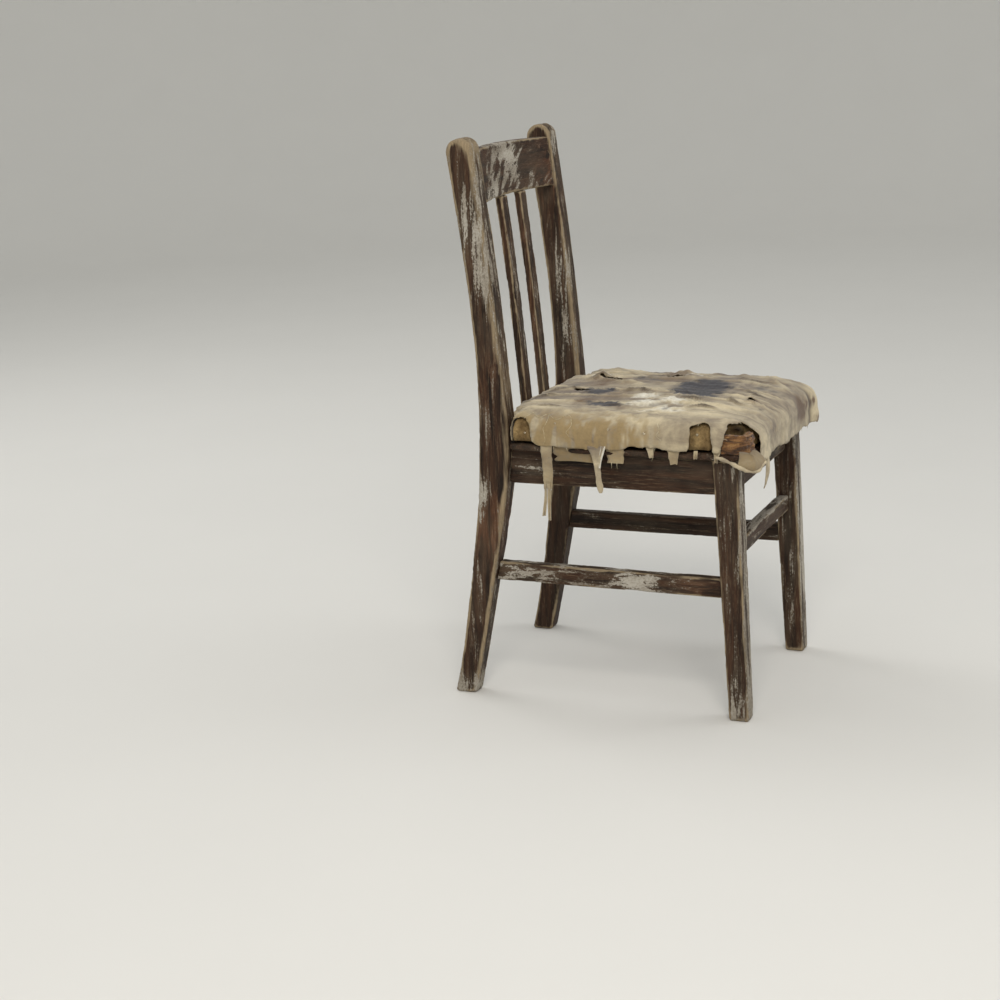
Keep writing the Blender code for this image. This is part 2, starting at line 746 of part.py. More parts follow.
def build():
    """Every piece of the chair."""
    wood = material("weathered_wood", (0.105, 0.068, 0.045), 0.75)
    post_wood = material("weathered_post_wood", (0.120, 0.080, 0.052), 0.75)
    board_wood = material("seat_board_wood", (0.085, 0.060, 0.042), 0.8)
    pad = material("khaki_padding", (0.262, 0.194, 0.103), 0.95)
    wad = material("orange_brown_stuffing", (0.230, 0.105, 0.035), 0.95)
    cloth = material("torn_cream_cloth", (0.470, 0.400, 0.280), 0.95)
    back_post("back_post_right", -1, post_wood)
    back_post("back_post_left", 1, post_wood)
    front_leg("front_leg_right", -1, post_wood)
    front_leg("front_leg_left", 1, post_wood)
    crest_rail(wood)
    slat("back_slat_right", -SLAT_OFFSET_X, wood)
    slat("back_slat_left", SLAT_OFFSET_X, wood)
    apron_z = (APRON_BOTTOM, FRAME_TOP)
    side_rail("side_apron_right", -1, apron_z, APRON_THICK, wood)
    side_rail("side_apron_left", 1, apron_z, APRON_THICK, wood)
    side_rail("side_stretcher_right", -1, SIDE_STRETCHER_Z, STRETCHER_THICK, wood)
    side_rail("side_stretcher_left", 1, SIDE_STRETCHER_Z, STRETCHER_THICK, wood)
    apron_front = LEG_FRONT_TOP + RAIL_INSET
    cross_rail("front_apron", apron_front, apron_front + APRON_THICK, apron_z, leg_inner, wood)
    cross_rail("rear_apron", REAR_APRON_FRONT, REAR_APRON_FRONT + REAR_APRON_THICK, apron_z, post_inner, wood)
    stretcher_front = leg_front(FRONT_STRETCHER_Z[0]) + 0.015
    cross_rail("front_stretcher", stretcher_front, stretcher_front + STRETCHER_THICK, FRONT_STRETCHER_Z,
               leg_inner, wood)
    seat_board(board_wood)
    seat_pad(pad)
    corner_wad(wad)
    torn_cover(cloth)
    rolled_hem(cloth)
    centre_on_origin()


def centre_on_origin():
    """Move the whole chair so that the middle of its outer box stands over the origin."""
    meshes = [obj.data for obj in bpy.context.scene.collection.objects]
    places = [v.co for mesh in meshes for v in mesh.vertices]
    middle_x = 0.5 * (min(p.x for p in places) + max(p.x for p in places))
    middle_y = 0.5 * (min(p.y for p in places) + max(p.y for p in places))
    for mesh in meshes:
        mesh.transform(Matrix.Translation((-middle_x, -middle_y, 0.0)))


build()
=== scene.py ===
"""Worn wooden side chair with a torn upholstered seat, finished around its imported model."""
import math

import bmesh
import bpy
import numpy as np
from mathutils import Matrix, Vector, noise
from mathutils.bvhtree import BVHTree


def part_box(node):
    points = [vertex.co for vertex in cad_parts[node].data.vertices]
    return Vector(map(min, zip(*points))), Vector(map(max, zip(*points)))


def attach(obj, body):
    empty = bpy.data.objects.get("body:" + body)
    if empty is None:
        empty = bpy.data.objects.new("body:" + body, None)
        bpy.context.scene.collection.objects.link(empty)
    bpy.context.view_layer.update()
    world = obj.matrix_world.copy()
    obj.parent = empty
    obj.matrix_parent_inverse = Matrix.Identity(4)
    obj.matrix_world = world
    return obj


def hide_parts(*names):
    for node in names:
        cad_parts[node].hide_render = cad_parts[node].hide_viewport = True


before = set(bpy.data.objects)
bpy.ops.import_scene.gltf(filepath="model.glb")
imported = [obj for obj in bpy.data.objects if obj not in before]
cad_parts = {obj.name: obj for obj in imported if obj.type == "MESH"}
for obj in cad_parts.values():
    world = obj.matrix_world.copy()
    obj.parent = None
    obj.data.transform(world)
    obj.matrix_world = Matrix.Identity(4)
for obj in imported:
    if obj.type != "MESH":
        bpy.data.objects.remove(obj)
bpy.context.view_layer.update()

bl_info = {
    "name": "Worn side chair",
    "version": (1, 0, 0),
    "blender": (4, 5, 0),
    "location": "View3D > Sidebar > Chair",
    "description": "Builds the finishes, the torn seat and the studio around the chair's packed model",
    "category": "Object",
}

BODY = "root"


def linear(code):
    """Linear colour with full alpha from an sRGB hex code."""
    out = []
    for start in (0, 2, 4):
        part = int(code[start:start + 2], 16) / 255.0
        out.append(part / 12.92 if part <= 0.04045 else ((part + 0.055) / 1.055) ** 2.4)
    return (*out, 1.0)


# ---------------------------------------------------------------- settings

def colour(name, description, code):
    """Colour setting with an sRGB hex default."""
    return bpy.props.FloatVectorProperty(
        name=name, description=description, subtype="COLOR", size=4, min=0.0, max=1.0, default=linear(code))


def length(name, description, default):
    """Length setting in metres."""
    return bpy.props.FloatProperty(
        name=name, description=description, default=default, min=0.0, unit="LENGTH", subtype="DISTANCE")


class WornWoodSettings(bpy.types.PropertyGroup):
    """Colours and wear of the painted wood."""
    shadow: colour("Dark stain", "Deepest brown of the old stain", "20160f")
    stain: colour("Stain", "Middle brown of the old stain", "4a3222")
    bare: colour("Bare wood", "Reddish brown wood under the stain", "5f3b25")
    arris: colour("Worn arris", "Tan wood on rubbed corners", "97866b")
    paint: colour("Old paint", "Grey-white paint that is still on", "b5afa3")
    paint_shade: colour("Dirty paint", "Grey-brown dirt on the paint", "6b5f4f")
    chip_depth: length("Chip depth", "Deepest chip along an arris", 0.0022)
    voxel: length("Mesh size", "Side of a face on the worn wood", 0.0019)


class TornSeatSettings(bpy.types.PropertyGroup):
    """Sizes and colours of the padding and its torn cover."""
    cream: colour("Cream cloth", "Cleaner parts of the cover", "c8b999")
    grime: colour("Grimy cloth", "Grey-beige dirt in the cover", "746759")
    khaki: colour("Khaki", "Cloth that the padding has soaked through", "957f57")
    stain: colour("Stain", "Blue-grey damp stain", "343339")
    # The brown also paints the shadow inside the fold at the far front corner
    brown: colour("Brown stain", "Brown edge of the stains", "5a4029")
    white: colour("Bleached cloth", "Whitish, bleached and frayed cloth", "e0dccf")
    stuffing: colour("Stuffing", "Orange-brown inner stuffing", "7d5630")
    spacing: length("Mesh size", "Side of a face on the cover", 0.0030)
    cloth_thickness: length("Cloth thickness", "Thickness of the cover", 0.0010)
    wrinkle: length("Wrinkle height", "Height of the stiff wrinkles on the seat", 0.0042)
    tack_head: length("Tack head", "Diameter of an upholstery tack head", 0.0042)
    thread: length("Thread", "Diameter of a loose thread", 0.0009)


class StageSettings(bpy.types.PropertyGroup):
    """Floor and light."""
    floor: colour("Floor", "Pale studio floor", "dddbd6")
    light: bpy.props.FloatProperty(name="Light", description="Strength of the soft studio light",
                                   default=1.0, min=0.0)


# ---------------------------------------------------------------- helpers

def add(tree, kind, links=None, **settings):
    """New node with its settings, and its inputs set to values or linked from sockets."""
    made = tree.nodes.new(kind)
    for name, value in settings.items():
        setattr(made, name, value)
    for key, value in (links or {}).items():
        if isinstance(value, bpy.types.NodeSocket):
            tree.links.new(value, made.inputs[key])
        else:
            made.inputs[key].default_value = value
    return made


def new_material(name):
    """Empty node material: the material, its tree and its surface shader."""
    made = bpy.data.materials.new(name)
    made.use_nodes = True
    return made, made.node_tree, made.node_tree.nodes["Principled BSDF"]


def linked(name, data):
    """New object in the scene for a mesh, a lamp or a camera."""
    obj = bpy.data.objects.new(name, data)
    bpy.context.scene.collection.objects.link(obj)
    return obj


def evaluated_mesh(obj):
    """Plain mesh of an object as its modifiers leave it."""
    graph = bpy.context.evaluated_depsgraph_get()
    return bpy.data.meshes.new_from_object(obj.evaluated_get(graph))


def read(items, name, width, kind=float):
    """One property of a list of mesh items, as rows of an array."""
    flat = np.empty(len(items) * width, dtype=kind)
    items.foreach_get(name, flat)
    return flat.reshape(-1, width)


def points_of(mesh):
    """Vertex places as an array."""
    return read(mesh.vertices, "co", 3)


def normals_of(mesh):
    """Vertex normals as an array."""
    return read(mesh.vertex_normals, "vector", 3)


def set_points(mesh, points):
    """Write vertex places back."""
    mesh.vertices.foreach_set("co", points.astype(np.float32).ravel())
    mesh.update()


def relaxed(points, edges, rounds):
    """Points moved to the middle of their neighbours a number of times."""
    count = len(points)
    both = np.concatenate([edges, edges[:, ::-1]])
    share = np.maximum(np.bincount(both[:, 0], minlength=count), 1)[:, None]
    for _ in range(rounds):
        total = np.stack([np.bincount(both[:, 0], weights=points[both[:, 1], k], minlength=count)
                          for k in range(3)], axis=1)
        points = 0.5 * points + 0.5 * total / share
    return points


def field(points, scale, seed):
    """Smooth noise from about -1 to 1 at each point."""
    moved = points * np.asarray(scale) + seed
    return np.array([noise.noise(p) for p in moved.tolist()])


def rough_field(points, scale, seed, octaves=4):
    """Noise with finer and finer detail at each point."""
    moved = points * np.asarray(scale) + seed
    return np.array([noise.fractal(p, 0.7, 2.1, octaves) for p in moved.tolist()])


# How far the points on a torn edge are shifted, how finely that changes along it, and the seed that
# keeps it the same in each run
FRAY = 0.0011
FRAY_SCALE = 260.0
FRAY_SEED = 5


def trimmed(work, last, rounds):
    """Smooth the free edges of a mesh, so that tears run in curves; vertices from number last on are left."""
    around = {}
    for edge in work.edges:
        if len(edge.link_faces) == 1 and max(v.index for v in edge.verts) < last:
            a, b = edge.verts
            around.setdefault(a, []).append(b)
            around.setdefault(b, []).append(a)
    for _ in range(rounds):
        moved = {v: v.co * 0.5 + (n[0].co + n[1].co) * 0.25 for v, n in around.items() if len(n) == 2}
        for vert, place in moved.items():
            vert.co = place
    noise.seed_set(FRAY_SEED)
    for vert in around:
        vert.co += FRAY * noise.noise_vector(vert.co * FRAY_SCALE)


def blobs(points, base, spots):
    """Smooth value at each point: a base and soft spots given as centre, radii and strength."""
    out = np.full(len(points), float(base))
    for centre, radii, strength in spots:
        away = (points - np.array(centre)) / np.array(radii)
        out += strength * np.exp(-np.sum(away * away, axis=1))
    return np.clip(out, 0.0, 1.0)


def put_attribute(mesh, name, values):
    """Store one number per vertex for the materials."""
    layer = mesh.attributes.new(name, "FLOAT", "POINT")
    layer.data.foreach_set("value", np.asarray(values, dtype=np.float32))


def put_uv(mesh, places):
    """Store a flat cloth place for each vertex as the UV map that the weave follows."""
    layer = mesh.uv_layers.new(name="cloth")
    corners = read(mesh.loops, "vertex_index", 1, np.int32)[:, 0]
    layer.data.foreach_set("uv", np.asarray(places)[corners].ravel())


def smooth(mesh):
    """Smooth shading on every face."""
    mesh.polygons.foreach_set("use_smooth", [True] * len(mesh.polygons))


def merged_copy(node):
    """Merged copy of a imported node's mesh."""
    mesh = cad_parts[node].data.copy()
    mesh.materials.clear()
    work = bmesh.new()
    work.from_mesh(mesh)
    bmesh.ops.remove_doubles(work, verts=work.verts, dist=1e-5)
    work.to_mesh(mesh)
    work.free()
    return mesh


def remeshed(mesh, size):
    """Mesh rebuilt with even faces."""
    work = linked("remesh_work", mesh)
    modifier = work.modifiers.new("remesh", "REMESH")
    modifier.mode = "VOXEL"
    modifier.voxel_size = size
    made = evaluated_mesh(work)
    bpy.data.objects.remove(work, do_unlink=True)
    return made


def finished(obj, material, nodes=()):
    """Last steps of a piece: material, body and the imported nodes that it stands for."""
    obj.data.materials.clear()
    obj.data.materials.append(material)
    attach(obj, BODY)
    if nodes:
        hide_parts(*nodes)
    return obj


def curve_through(points, spacing):
    """Smooth line through points, sampled at a spacing."""
    rows = np.asarray(points, dtype=float)
    padded = np.vstack([2 * rows[0] - rows[1], rows, 2 * rows[-1] - rows[-2]])
    out = []
    for i in range(1, len(padded) - 2):
        a, b, c, d = padded[i - 1:i + 3]
        steps = max(1, int(round(np.linalg.norm(c - b) / spacing)))
        for s in range(steps):
            t = s / steps
            out.append(0.5 * (2 * b + (c - a) * t + (2 * a - 5 * b + 4 * c - d) * t * t
                              + (3 * b - a - 3 * c + d) * t ** 3))
    out.append(rows[-1])
    return np.array(out)


def walked(line):
    """How far along a line each of its points lies."""
    return np.concatenate([[0.0], np.cumsum(np.linalg.norm(np.diff(line, axis=0), axis=1))])


def even_ring(ring, count):
    """Closed ring through the same places with a number of evenly spaced points."""
    line = np.vstack([ring, ring[:1]])
    far = walked(line)
    at = np.arange(count) * far[-1] / count
    return np.stack([np.interp(at, far, line[:, k]) for k in (0, 1)], axis=1)


def calmed(ring, rounds):
    """Rows of a closed ring, each averaged with its neighbours a number of times."""
    for _ in range(rounds):
        ring = (np.roll(ring, 1, axis=0) + ring + np.roll(ring, -1, axis=0)) / 3.0
    return ring


def strip_faces(rows, columns, flip=False):
    """Faces between rows of points, each row with one point more than there are columns."""
    faces = []
    for n in range(rows - 1):
        for k in range(columns):
            a = n * (columns + 1) + k
            face = (a, a + 1, a + columns + 2, a + columns + 1)
            faces.append(face[:1] + face[:0:-1] if flip else face)
    return faces


# ---------------------------------------------------------------- worn wood

def weathered_paint(name, axis, seed, flake_scale, flake_stretch, tilt):
    """Stained beech with the last of its grey-white paint, split and rubbed off by use.

    The eye gets long brown streaks along the grain, crisp-edged paint flakes that stand a little
    proud, tan wood on the rubbed corners and a dull surface with a faint gloss in the stain.
    """
    look = bpy.context.scene.worn_wood
    made, tree, shader = new_material(name)
    where = add(tree, "ShaderNodeTexCoord").outputs["Object"]
    edge, pale, bare, hollow, rubbed_zone = (
        add(tree, "ShaderNodeAttribute", attribute_name=key).outputs["Fac"]
        for key in ("edge", "pale", "bare", "hollow", "rubbed"))

    # Each noise: stretch along the grain, shift, lean, scale, detail, roughness and distortion
    noises = []
    for along, shift, lean, fineness, detail, rough, bend in (
            # Streaks 12 mm wide and 150 mm long, and fibres 1.6 mm wide
            (0.08, 0.0, 0.0, 85.0, 7.0, 0.62, 0.4), (0.05, 3.1, 0.0, 620.0, 4.0, 0.70, 0.0),
            # Flakes of paint about 7 mm wide on the posts and up to 15 mm on the rails, with ragged ends
            (flake_stretch, 7.7, tilt, flake_scale, 7.0, 0.60, 0.5),
            # Clouds of dust and thinner paint, 60 mm across, and crumbs of paint
            (0.40, 5.2, 0.0, 22.0, 5.0, 0.60, 0.0), (0.60, 9.4, 0.0, 420.0, 5.0, 0.70, 0.0)):
        scale = [1.0, 1.0, 1.0]
        scale[axis] = along
        leant = add(tree, "ShaderNodeMapping", {"Vector": where, "Rotation": (0.0, lean, 0.0)}).outputs["Vector"]
        drawn = add(tree, "ShaderNodeMapping", {
            "Vector": leant, "Location": (seed + shift, 0.7 * seed, 1.3 * shift), "Scale": scale}).outputs["Vector"]
        noises.append(add(tree, "ShaderNodeTexNoise", {
            "Vector": drawn, "Scale": fineness, "Detail": detail, "Roughness": rough,
            "Distortion": bend}).outputs["Fac"])
    streaks, fibres, flakes, clouds, crumbs = noises

    # Sums that the zones are cut from: bare wood, rubbed wood, paint and how thick the paint is
    bare_sum, rub_edge, broken, thick = (
        add(tree, "ShaderNodeMath", {0: first, 1: share, 2: second}, operation="MULTIPLY_ADD").outputs[0]
        for first, share, second in ((flakes, 1.0, bare), (flakes, 1.5, edge), (crumbs, 0.35, flakes),
                                     (pale, 0.5, crumbs)))
    rub_all, paint_weight, grey = (
        add(tree, "ShaderNodeMath", {0: first, 1: share, 2: second}, operation="MULTIPLY_ADD").outputs[0]
        for first, share, second in ((rubbed_zone, 1.0, rub_edge), (pale, 0.46, broken), (clouds, 1.0, thick)))
    stain_tone, bare_mask, fibre_tone, scratch, dust, rub_mask, wash, paint_mask, dirt_tone = (
        add(tree, "ShaderNodeMapRange", {
            "Value": value, "From Min": low, "From Max": high, "To Min": least, "To Max": most}).outputs["Result"]
        for value, low, high, least, most in (
            (streaks, 0.38, 0.70, 0.0, 1.0), (bare_sum, 0.92, 1.12, 0.0, 1.0), (fibres, 0.3, 0.7, 0.62, 1.35),
            (fibres, 0.58, 0.70, 0.0, 0.32), (clouds, 0.45, 0.72, 0.0, 0.30), (rub_all, 1.26, 1.66, 0.0, 0.90),
            (paint_weight, 0.80, 0.97, 0.0, 0.55), (paint_weight, 0.905, 0.945, 0.0, 1.0),
            (grey, 0.95, 1.52, 0.0, 1.0)))
    stain, bare_wood, arris, paint, shade = (
        tuple(tint) for tint in (look.stain, look.bare, look.arris, look.paint, look.paint_shade))
    rub_tone = add(tree, "ShaderNodeMix", {
        0: 0.8, 6: arris, 7: fibre_tone}, data_type="RGBA", blend_type="MULTIPLY").outputs[2]
    paint_tone = add(tree, "ShaderNodeMix", {0: dirt_tone, 6: shade, 7: paint}, data_type="RGBA").outputs[2]

    # From the dark stain up: middle stain, bare wood, fibres, thin scratches, dust in clouds, rubbed
    # corners, a wash where paint has gone from the high grain, the paint itself and dirt in the hollows
    colour_out = tuple(look.shadow)
    for share, over, blend in (
            (stain_tone, stain, "MIX"), (bare_mask, bare_wood, "MIX"), (1.0, fibre_tone, "MULTIPLY"),
            (scratch, arris, "MIX"), (dust, shade, "MIX"), (rub_mask, rub_tone, "MIX"), (wash, shade, "MIX"),
            (paint_mask, paint_tone, "MIX"), (hollow, linear("1f1712"), "MIX")):
        colour_out = add(tree, "ShaderNodeMix", {
            0: share, 6: colour_out, 7: over}, data_type="RGBA", blend_type=blend).outputs[2]
    tree.links.new(colour_out, shader.inputs["Base Color"])
    dull = add(tree, "ShaderNodeMath", {0: rub_mask, 1: paint_mask}, operation="MAXIMUM").outputs[0]
    rough = add(tree, "ShaderNodeMapRange", {
        "Value": dull, "To Min": 0.60, "To Max": 0.88}).outputs["Result"]
    tree.links.new(rough, shader.inputs["Roughness"])
    shader.inputs["IOR"].default_value = 1.5
    shader.inputs["Specular IOR Level"].default_value = 0.20
    # The paint is 0.3 mm thick, and the grain stands out by about as much
    relief = add(tree, "ShaderNodeMath", {0: paint_mask, 1: 0.6, 2: fibres}, operation="MULTIPLY_ADD").outputs[0]
    relief_all = add(tree, "ShaderNodeMath", {0: streaks, 1: 1.2, 2: relief}, operation="MULTIPLY_ADD").outputs[0]
    bump = add(tree, "ShaderNodeBump", {"Height": relief_all, "Strength": 0.8, "Distance": 0.0006})
    tree.links.new(bump.outputs["Normal"], shader.inputs["Normal"])
    return made


# For each piece: grain axis, slot, mesh size factor, then paint left, bare wood and rubbed wood, each a
# base and soft spots as centre, radii and strength
WOOD = [
    ("back_post_right", 2, "post_wood", 1.0,
     (0.22, [((-0.182, 0.195, 0.74), (0.020, 0.020, 0.05), 0.34), ((-0.182, 0.180, 0.665), (0.020, 0.018, 0.05), 0.36),
             ((-0.180, 0.19, 0.33), (0.03, 0.012, 0.03), 0.42), ((-0.165, 0.23, 0.01), (0.05, 0.05, 0.024), 0.42)]),
     (0.34, [((-0.17, 0.18, 0.28), (0.06, 0.06, 0.07), 0.22), ((-0.17, 0.2, 0.52), (0.06, 0.06, 0.07), 0.12)]),
     (0.12, [((-0.184, 0.170, 0.76), (0.012, 0.010, 0.12), 0.55),
            ((-0.184, 0.152, 0.60), (0.008, 0.008, 0.12), 0.45), ((-0.17, 0.20, 0.860), (0.05, 0.06, 0.020), 0.45),
            ((-0.172, 0.225, 0.02), (0.05, 0.05, 0.018), 0.45), ((-0.182, 0.165, 0.31), (0.010, 0.010, 0.05), 0.40)])),
    ("back_post_left", 2, "post_wood", 1.0,
     (0.10, [((0.145, 0.178, 0.61), (0.02, 0.016, 0.08), 0.40), ((0.148, 0.165, 0.52), (0.02, 0.018, 0.04), 0.38)]),
     (0.32, [((0.145, 0.20, 0.76), (0.05, 0.06, 0.05), 0.12)]),
     (0.10, [((0.150, 0.155, 0.62), (0.012, 0.014, 0.24), 0.40), ((0.17, 0.20, 0.860), (0.05, 0.06, 0.02), 0.30)])),
    ("front_leg_right", 2, "post_wood", 1.0,
     (0.30, [((-0.17, -0.21, 0.02), (0.05, 0.05, 0.04), 0.20), ((-0.15, -0.225, 0.2), (0.012, 0.01, 0.25), 0.25)]),
     (0.34, []),
     (0.15, [((-0.150, -0.224, 0.20), (0.012, 0.010, 0.25), 0.42), ((-0.17, -0.22, 0.0), (0.05, 0.05, 0.02), 0.35)])),
    ("front_leg_left", 2, "post_wood", 1.0,
     (0.28, [((0.185, -0.23, 0.22), (0.012, 0.012, 0.18), 0.42)]), (0.34, []),
     (0.12, [((0.185, -0.23, 0.2), (0.012, 0.012, 0.25), 0.30), ((0.17, -0.22, 0.0), (0.05, 0.05, 0.02), 0.35)])),
    ("crest_rail", 0, "rail_wood", 1.0,
     (0.28, [((-0.01, 0.19, 0.832), (0.060, 0.06, 0.014), 0.62), ((-0.09, 0.19, 0.785), (0.045, 0.06, 0.022), 0.42),
             ((0.015, 0.19, 0.80), (0.040, 0.06, 0.025), 0.34), ((0.12, 0.19, 0.82), (0.05, 0.06, 0.06), -0.12)]),
     (0.24, [((0.13, 0.19, 0.80), (0.05, 0.06, 0.05), 0.26)]),
     (0.10, [((-0.10, 0.18, 0.80), (0.05, 0.06, 0.04), 0.22), ((0.0, 0.19, 0.77), (0.15, 0.06, 0.008), 0.25)])),
    ("back_slat_right", 2, "rail_wood", 0.75, (0.10, []), (0.40, []),
     (0.10, [((-0.068, 0.160, 0.6), (0.006, 0.05, 0.3), 0.40)])),
    ("back_slat_left", 2, "rail_wood", 0.75, (0.12, []), (0.42, []),
     (0.12, [((-0.020, 0.160, 0.6), (0.006, 0.05, 0.3), 0.35)])),
    # The near side apron keeps little paint and bare wood, so it comes out dark: partly its own colour and partly
    # painted shade under the seat's overhang
    ("side_apron_right", 1, "rail_wood", 1.0,
     (0.05, [((-0.17, 0.11, 0.37), (0.03, 0.05, 0.02), 0.36), ((-0.17, 0.0, 0.35), (0.03, 0.10, 0.01), 0.12)]),
     (0.24, []), (0.0, [])),
    ("side_apron_left", 1, "rail_wood", 1.0, (0.24, []), (0.28, []), (0.0, [])),
    ("front_apron", 0, "rail_wood", 1.0, (0.32, []), (0.28, []), (0.0, [])),
    ("rear_apron", 0, "rail_wood", 1.0, (0.28, []), (0.28, []), (0.0, [])),
    ("side_stretcher_right", 1, "rail_wood", 0.9,
     (0.34, [((-0.17, 0.11, 0.20), (0.03, 0.06, 0.03), 0.22), ((-0.17, -0.05, 0.20), (0.03, 0.05, 0.02), 0.32),
             ((-0.17, -0.17, 0.20), (0.03, 0.05, 0.03), -0.22)]),
     (0.30, [((-0.17, -0.14, 0.20), (0.03, 0.05, 0.03), 0.14)]), (0.05, [])),
    ("side_stretcher_left", 1, "rail_wood", 0.9, (0.20, []), (0.25, []), (0.0, [])),
    ("front_stretcher", 0, "rail_wood", 0.9, (0.26, [((0.0, -0.2, 0.268), (0.3, 0.03, 0.008), 0.35)]), (0.28, []),
     (0.0, [])),
    ("seat_board", 0, "board_wood", 1.35, (0.14, []), (0.25, []), (0.0, [])),
]


# Paint flakes across the grain, as a noise scale, their stretch along it and the lean of the strokes
USUAL_FLAKES = (135.0, 0.085, 0.0)
FLAKES = {"crest_rail": (72.0, 0.34, 0.60), "side_stretcher_right": (88.0, 0.26, 0.0),
          "front_stretcher": (100.0, 0.18, 0.0)}
# Paint and rubbed wood on one face of a piece: outward direction of the face, height, reach up and down,
# then the amounts of paint and of rubbing
FACES = {
    "back_post_right": [((0, -1, 0), 0.68, 0.13, 0.16, 0.24), ((0, -1, 0), 0.50, 0.06, 0.06, 0.45),
                        ((0, -1, 0), 0.83, 0.04, 0.20, 0.45), ((0, -1, 0), 0.20, 0.20, 0.15, 0.20)],
    "back_post_left": [((0, -1, 0), 0.62, 0.22, 0.18, 0.36), ((-1, 0, 0), 0.66, 0.06, 0.06, 0.10),
                       ((-1, 0, 0), 0.54, 0.04, 0.05, 0.10), ((0, -1, 0), 0.84, 0.04, 0.35, 0.10)],
    "back_slat_right": [((0, -1, 0), 0.60, 0.25, 0.22, 0.25)],
    "back_slat_left": [((0, -1, 0), 0.60, 0.25, 0.18, 0.22)],
    "front_leg_right": [((0, -1, 0), 0.20, 0.25, 0.20, 0.20)],
    "front_leg_left": [((0, -1, 0), 0.20, 0.25, 0.25, 0.15)],
    "crest_rail": [((0, 0, 1), 0.85, 0.05, 0.20, 0.30)],
}
# Pieces whose arrises are rubbed more or less than the others
ARRIS_WEAR = {"back_post_right": 1.25, "seat_board": 0.30, "back_slat_right": 0.85, "back_slat_left": 0.80,
              "side_stretcher_left": 0.6}


# How far fine grain and the slow sway of a worn face move the surface, in metres
GRAIN_HEIGHT = 0.00022
SWAY_HEIGHT = 0.00035


def worn_mesh(mesh, size, axis, seed, depth, wear):
    """Even, worn mesh of a wooden piece with its rubbed edges and hollows stored for the material."""
    made = remeshed(mesh, size)
    points = points_of(made)
    edges = read(made.edges, "vertices", 2, np.int32)
    normals = normals_of(made)
    calm = relaxed(points, edges, 7)
    rise = np.sum((points - calm) * normals, axis=1) / size
    edge = np.clip(rise / 0.42, 0.0, 1.0)
    # Noise scales of the chips, the grain and the sway, each longer along the grain
    along, fine, wide = ([across] * 3 for across in (60.0, 190.0, 24.0))
    along[axis], fine[axis], wide[axis] = 22.0, 35.0, 6.0
    chips = np.clip(rough_field(points, along, seed, 4) - 0.10, 0.0, 0.8)
    grain = field(points, fine, seed + 5.0)
    sway = field(points, wide, seed + 9.0)
    move = -depth * chips * edge * 1.6 + GRAIN_HEIGHT * grain + SWAY_HEIGHT * sway
    set_points(made, points + normals * move[:, None])
    spread = relaxed(np.repeat(edge[:, None], 3, 1), edges, 3)[:, 0]
    # The rubbed arris comes and goes along its length
    patchy = 0.86 + 0.9 * field(points, [along[0] * 0.9, along[1] * 0.9, along[2] * 0.45], seed + 21.0)
    put_attribute(made, "edge", wear * np.clip(1.5 * spread, 0.0, 1.0) * np.clip(patchy, 0.12, 1.0))
    put_attribute(made, "hollow", np.clip(-rise / 0.5, 0.0, 1.0))
    smooth(made)
    return made


class CHAIR_OT_wooden_frame(bpy.types.Operator):
    """Legs, posts, rails, slats and board with chipped arrises and the last of their paint"""
    bl_idname = "chair.wooden_frame"
    bl_label = "Wooden frame"

    def execute(self, context):
        look = context.scene.worn_wood
        for number, (node, axis, slot, fineness, pale, bare, rubbed) in enumerate(WOOD):
            mesh = worn_mesh(merged_copy(node), look.voxel * fineness, axis, 11.3 * (number + 1), look.chip_depth,
                             ARRIS_WEAR.get(node, 1.0))
            points = points_of(mesh)
            normals = normals_of(mesh)
            paint = blobs(points, *pale)
            rub = blobs(points, *rubbed)
            for way, height, reach, more_paint, more_rub in FACES.get(node, ()):
                facing = np.clip(2.0 * normals @ np.array(way, dtype=float) - 0.7, 0.0, 1.0)
                facing = facing * np.exp(-((points[:, 2] - height) / reach) ** 2)
                paint = paint + more_paint * facing
                rub = rub + more_rub * facing
            put_attribute(mesh, "pale", np.clip(paint, 0.0, 1.0))
            put_attribute(mesh, "bare", blobs(points, *bare))
            put_attribute(mesh, "rubbed", np.clip(rub, 0.0, 1.0))
            piece = linked(node + "_worn", mesh)
            material = weathered_paint("old_paint_on_" + node, axis, 1.7 * number, *FLAKES.get(node, USUAL_FLAKES))
            finished(piece, material, [node])
        return {"FINISHED"}


# ---------------------------------------------------------------- seat shape

PAD_LOW, PAD_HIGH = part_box("seat_pad")
PAD_BULGE = 0.0015
NEAR_X = PAD_LOW[0] + PAD_BULGE
FAR_X = PAD_HIGH[0] - PAD_BULGE
FRONT_Y = PAD_LOW[1] + PAD_BULGE
BETWEEN_Y = PAD_HIGH[1] - PAD_BULGE
BACK_Y = BETWEEN_Y - 0.017
NOTCH = 0.140
CORNER = 0.020
PAD_BOTTOM = PAD_LOW[2]
MIDDLE = ((NEAR_X + FAR_X) / 2, (FRONT_Y + BETWEEN_Y) / 2)
SHOULDER = 0.0436
CROWN = 0.006
FALL = 0.009
FALL_REACH = 0.096
# Width that the rings of the cover share out between the rim and the middle
RING_REACH = 0.185
# How often the corners of the inner rings of the cover are smoothed
CORNER_ROUNDS = 110
# Side of the padding from the hem up: rise over the board and distance in from the plan
SIDE_PROFILE = [(-0.0240, 0.0), (-0.0120, -0.0005), (0.0, 0.0), (0.014, -0.0015), (0.027, 0.0),
                (0.035, 0.004), (0.0405, 0.011)]


def front_fall(y):
    """How far the padding sinks towards its worn front edge."""
    part = np.clip((FRONT_Y + FALL_REACH - y) / FALL_REACH, 0.0, 1.0)
    return FALL * part * part


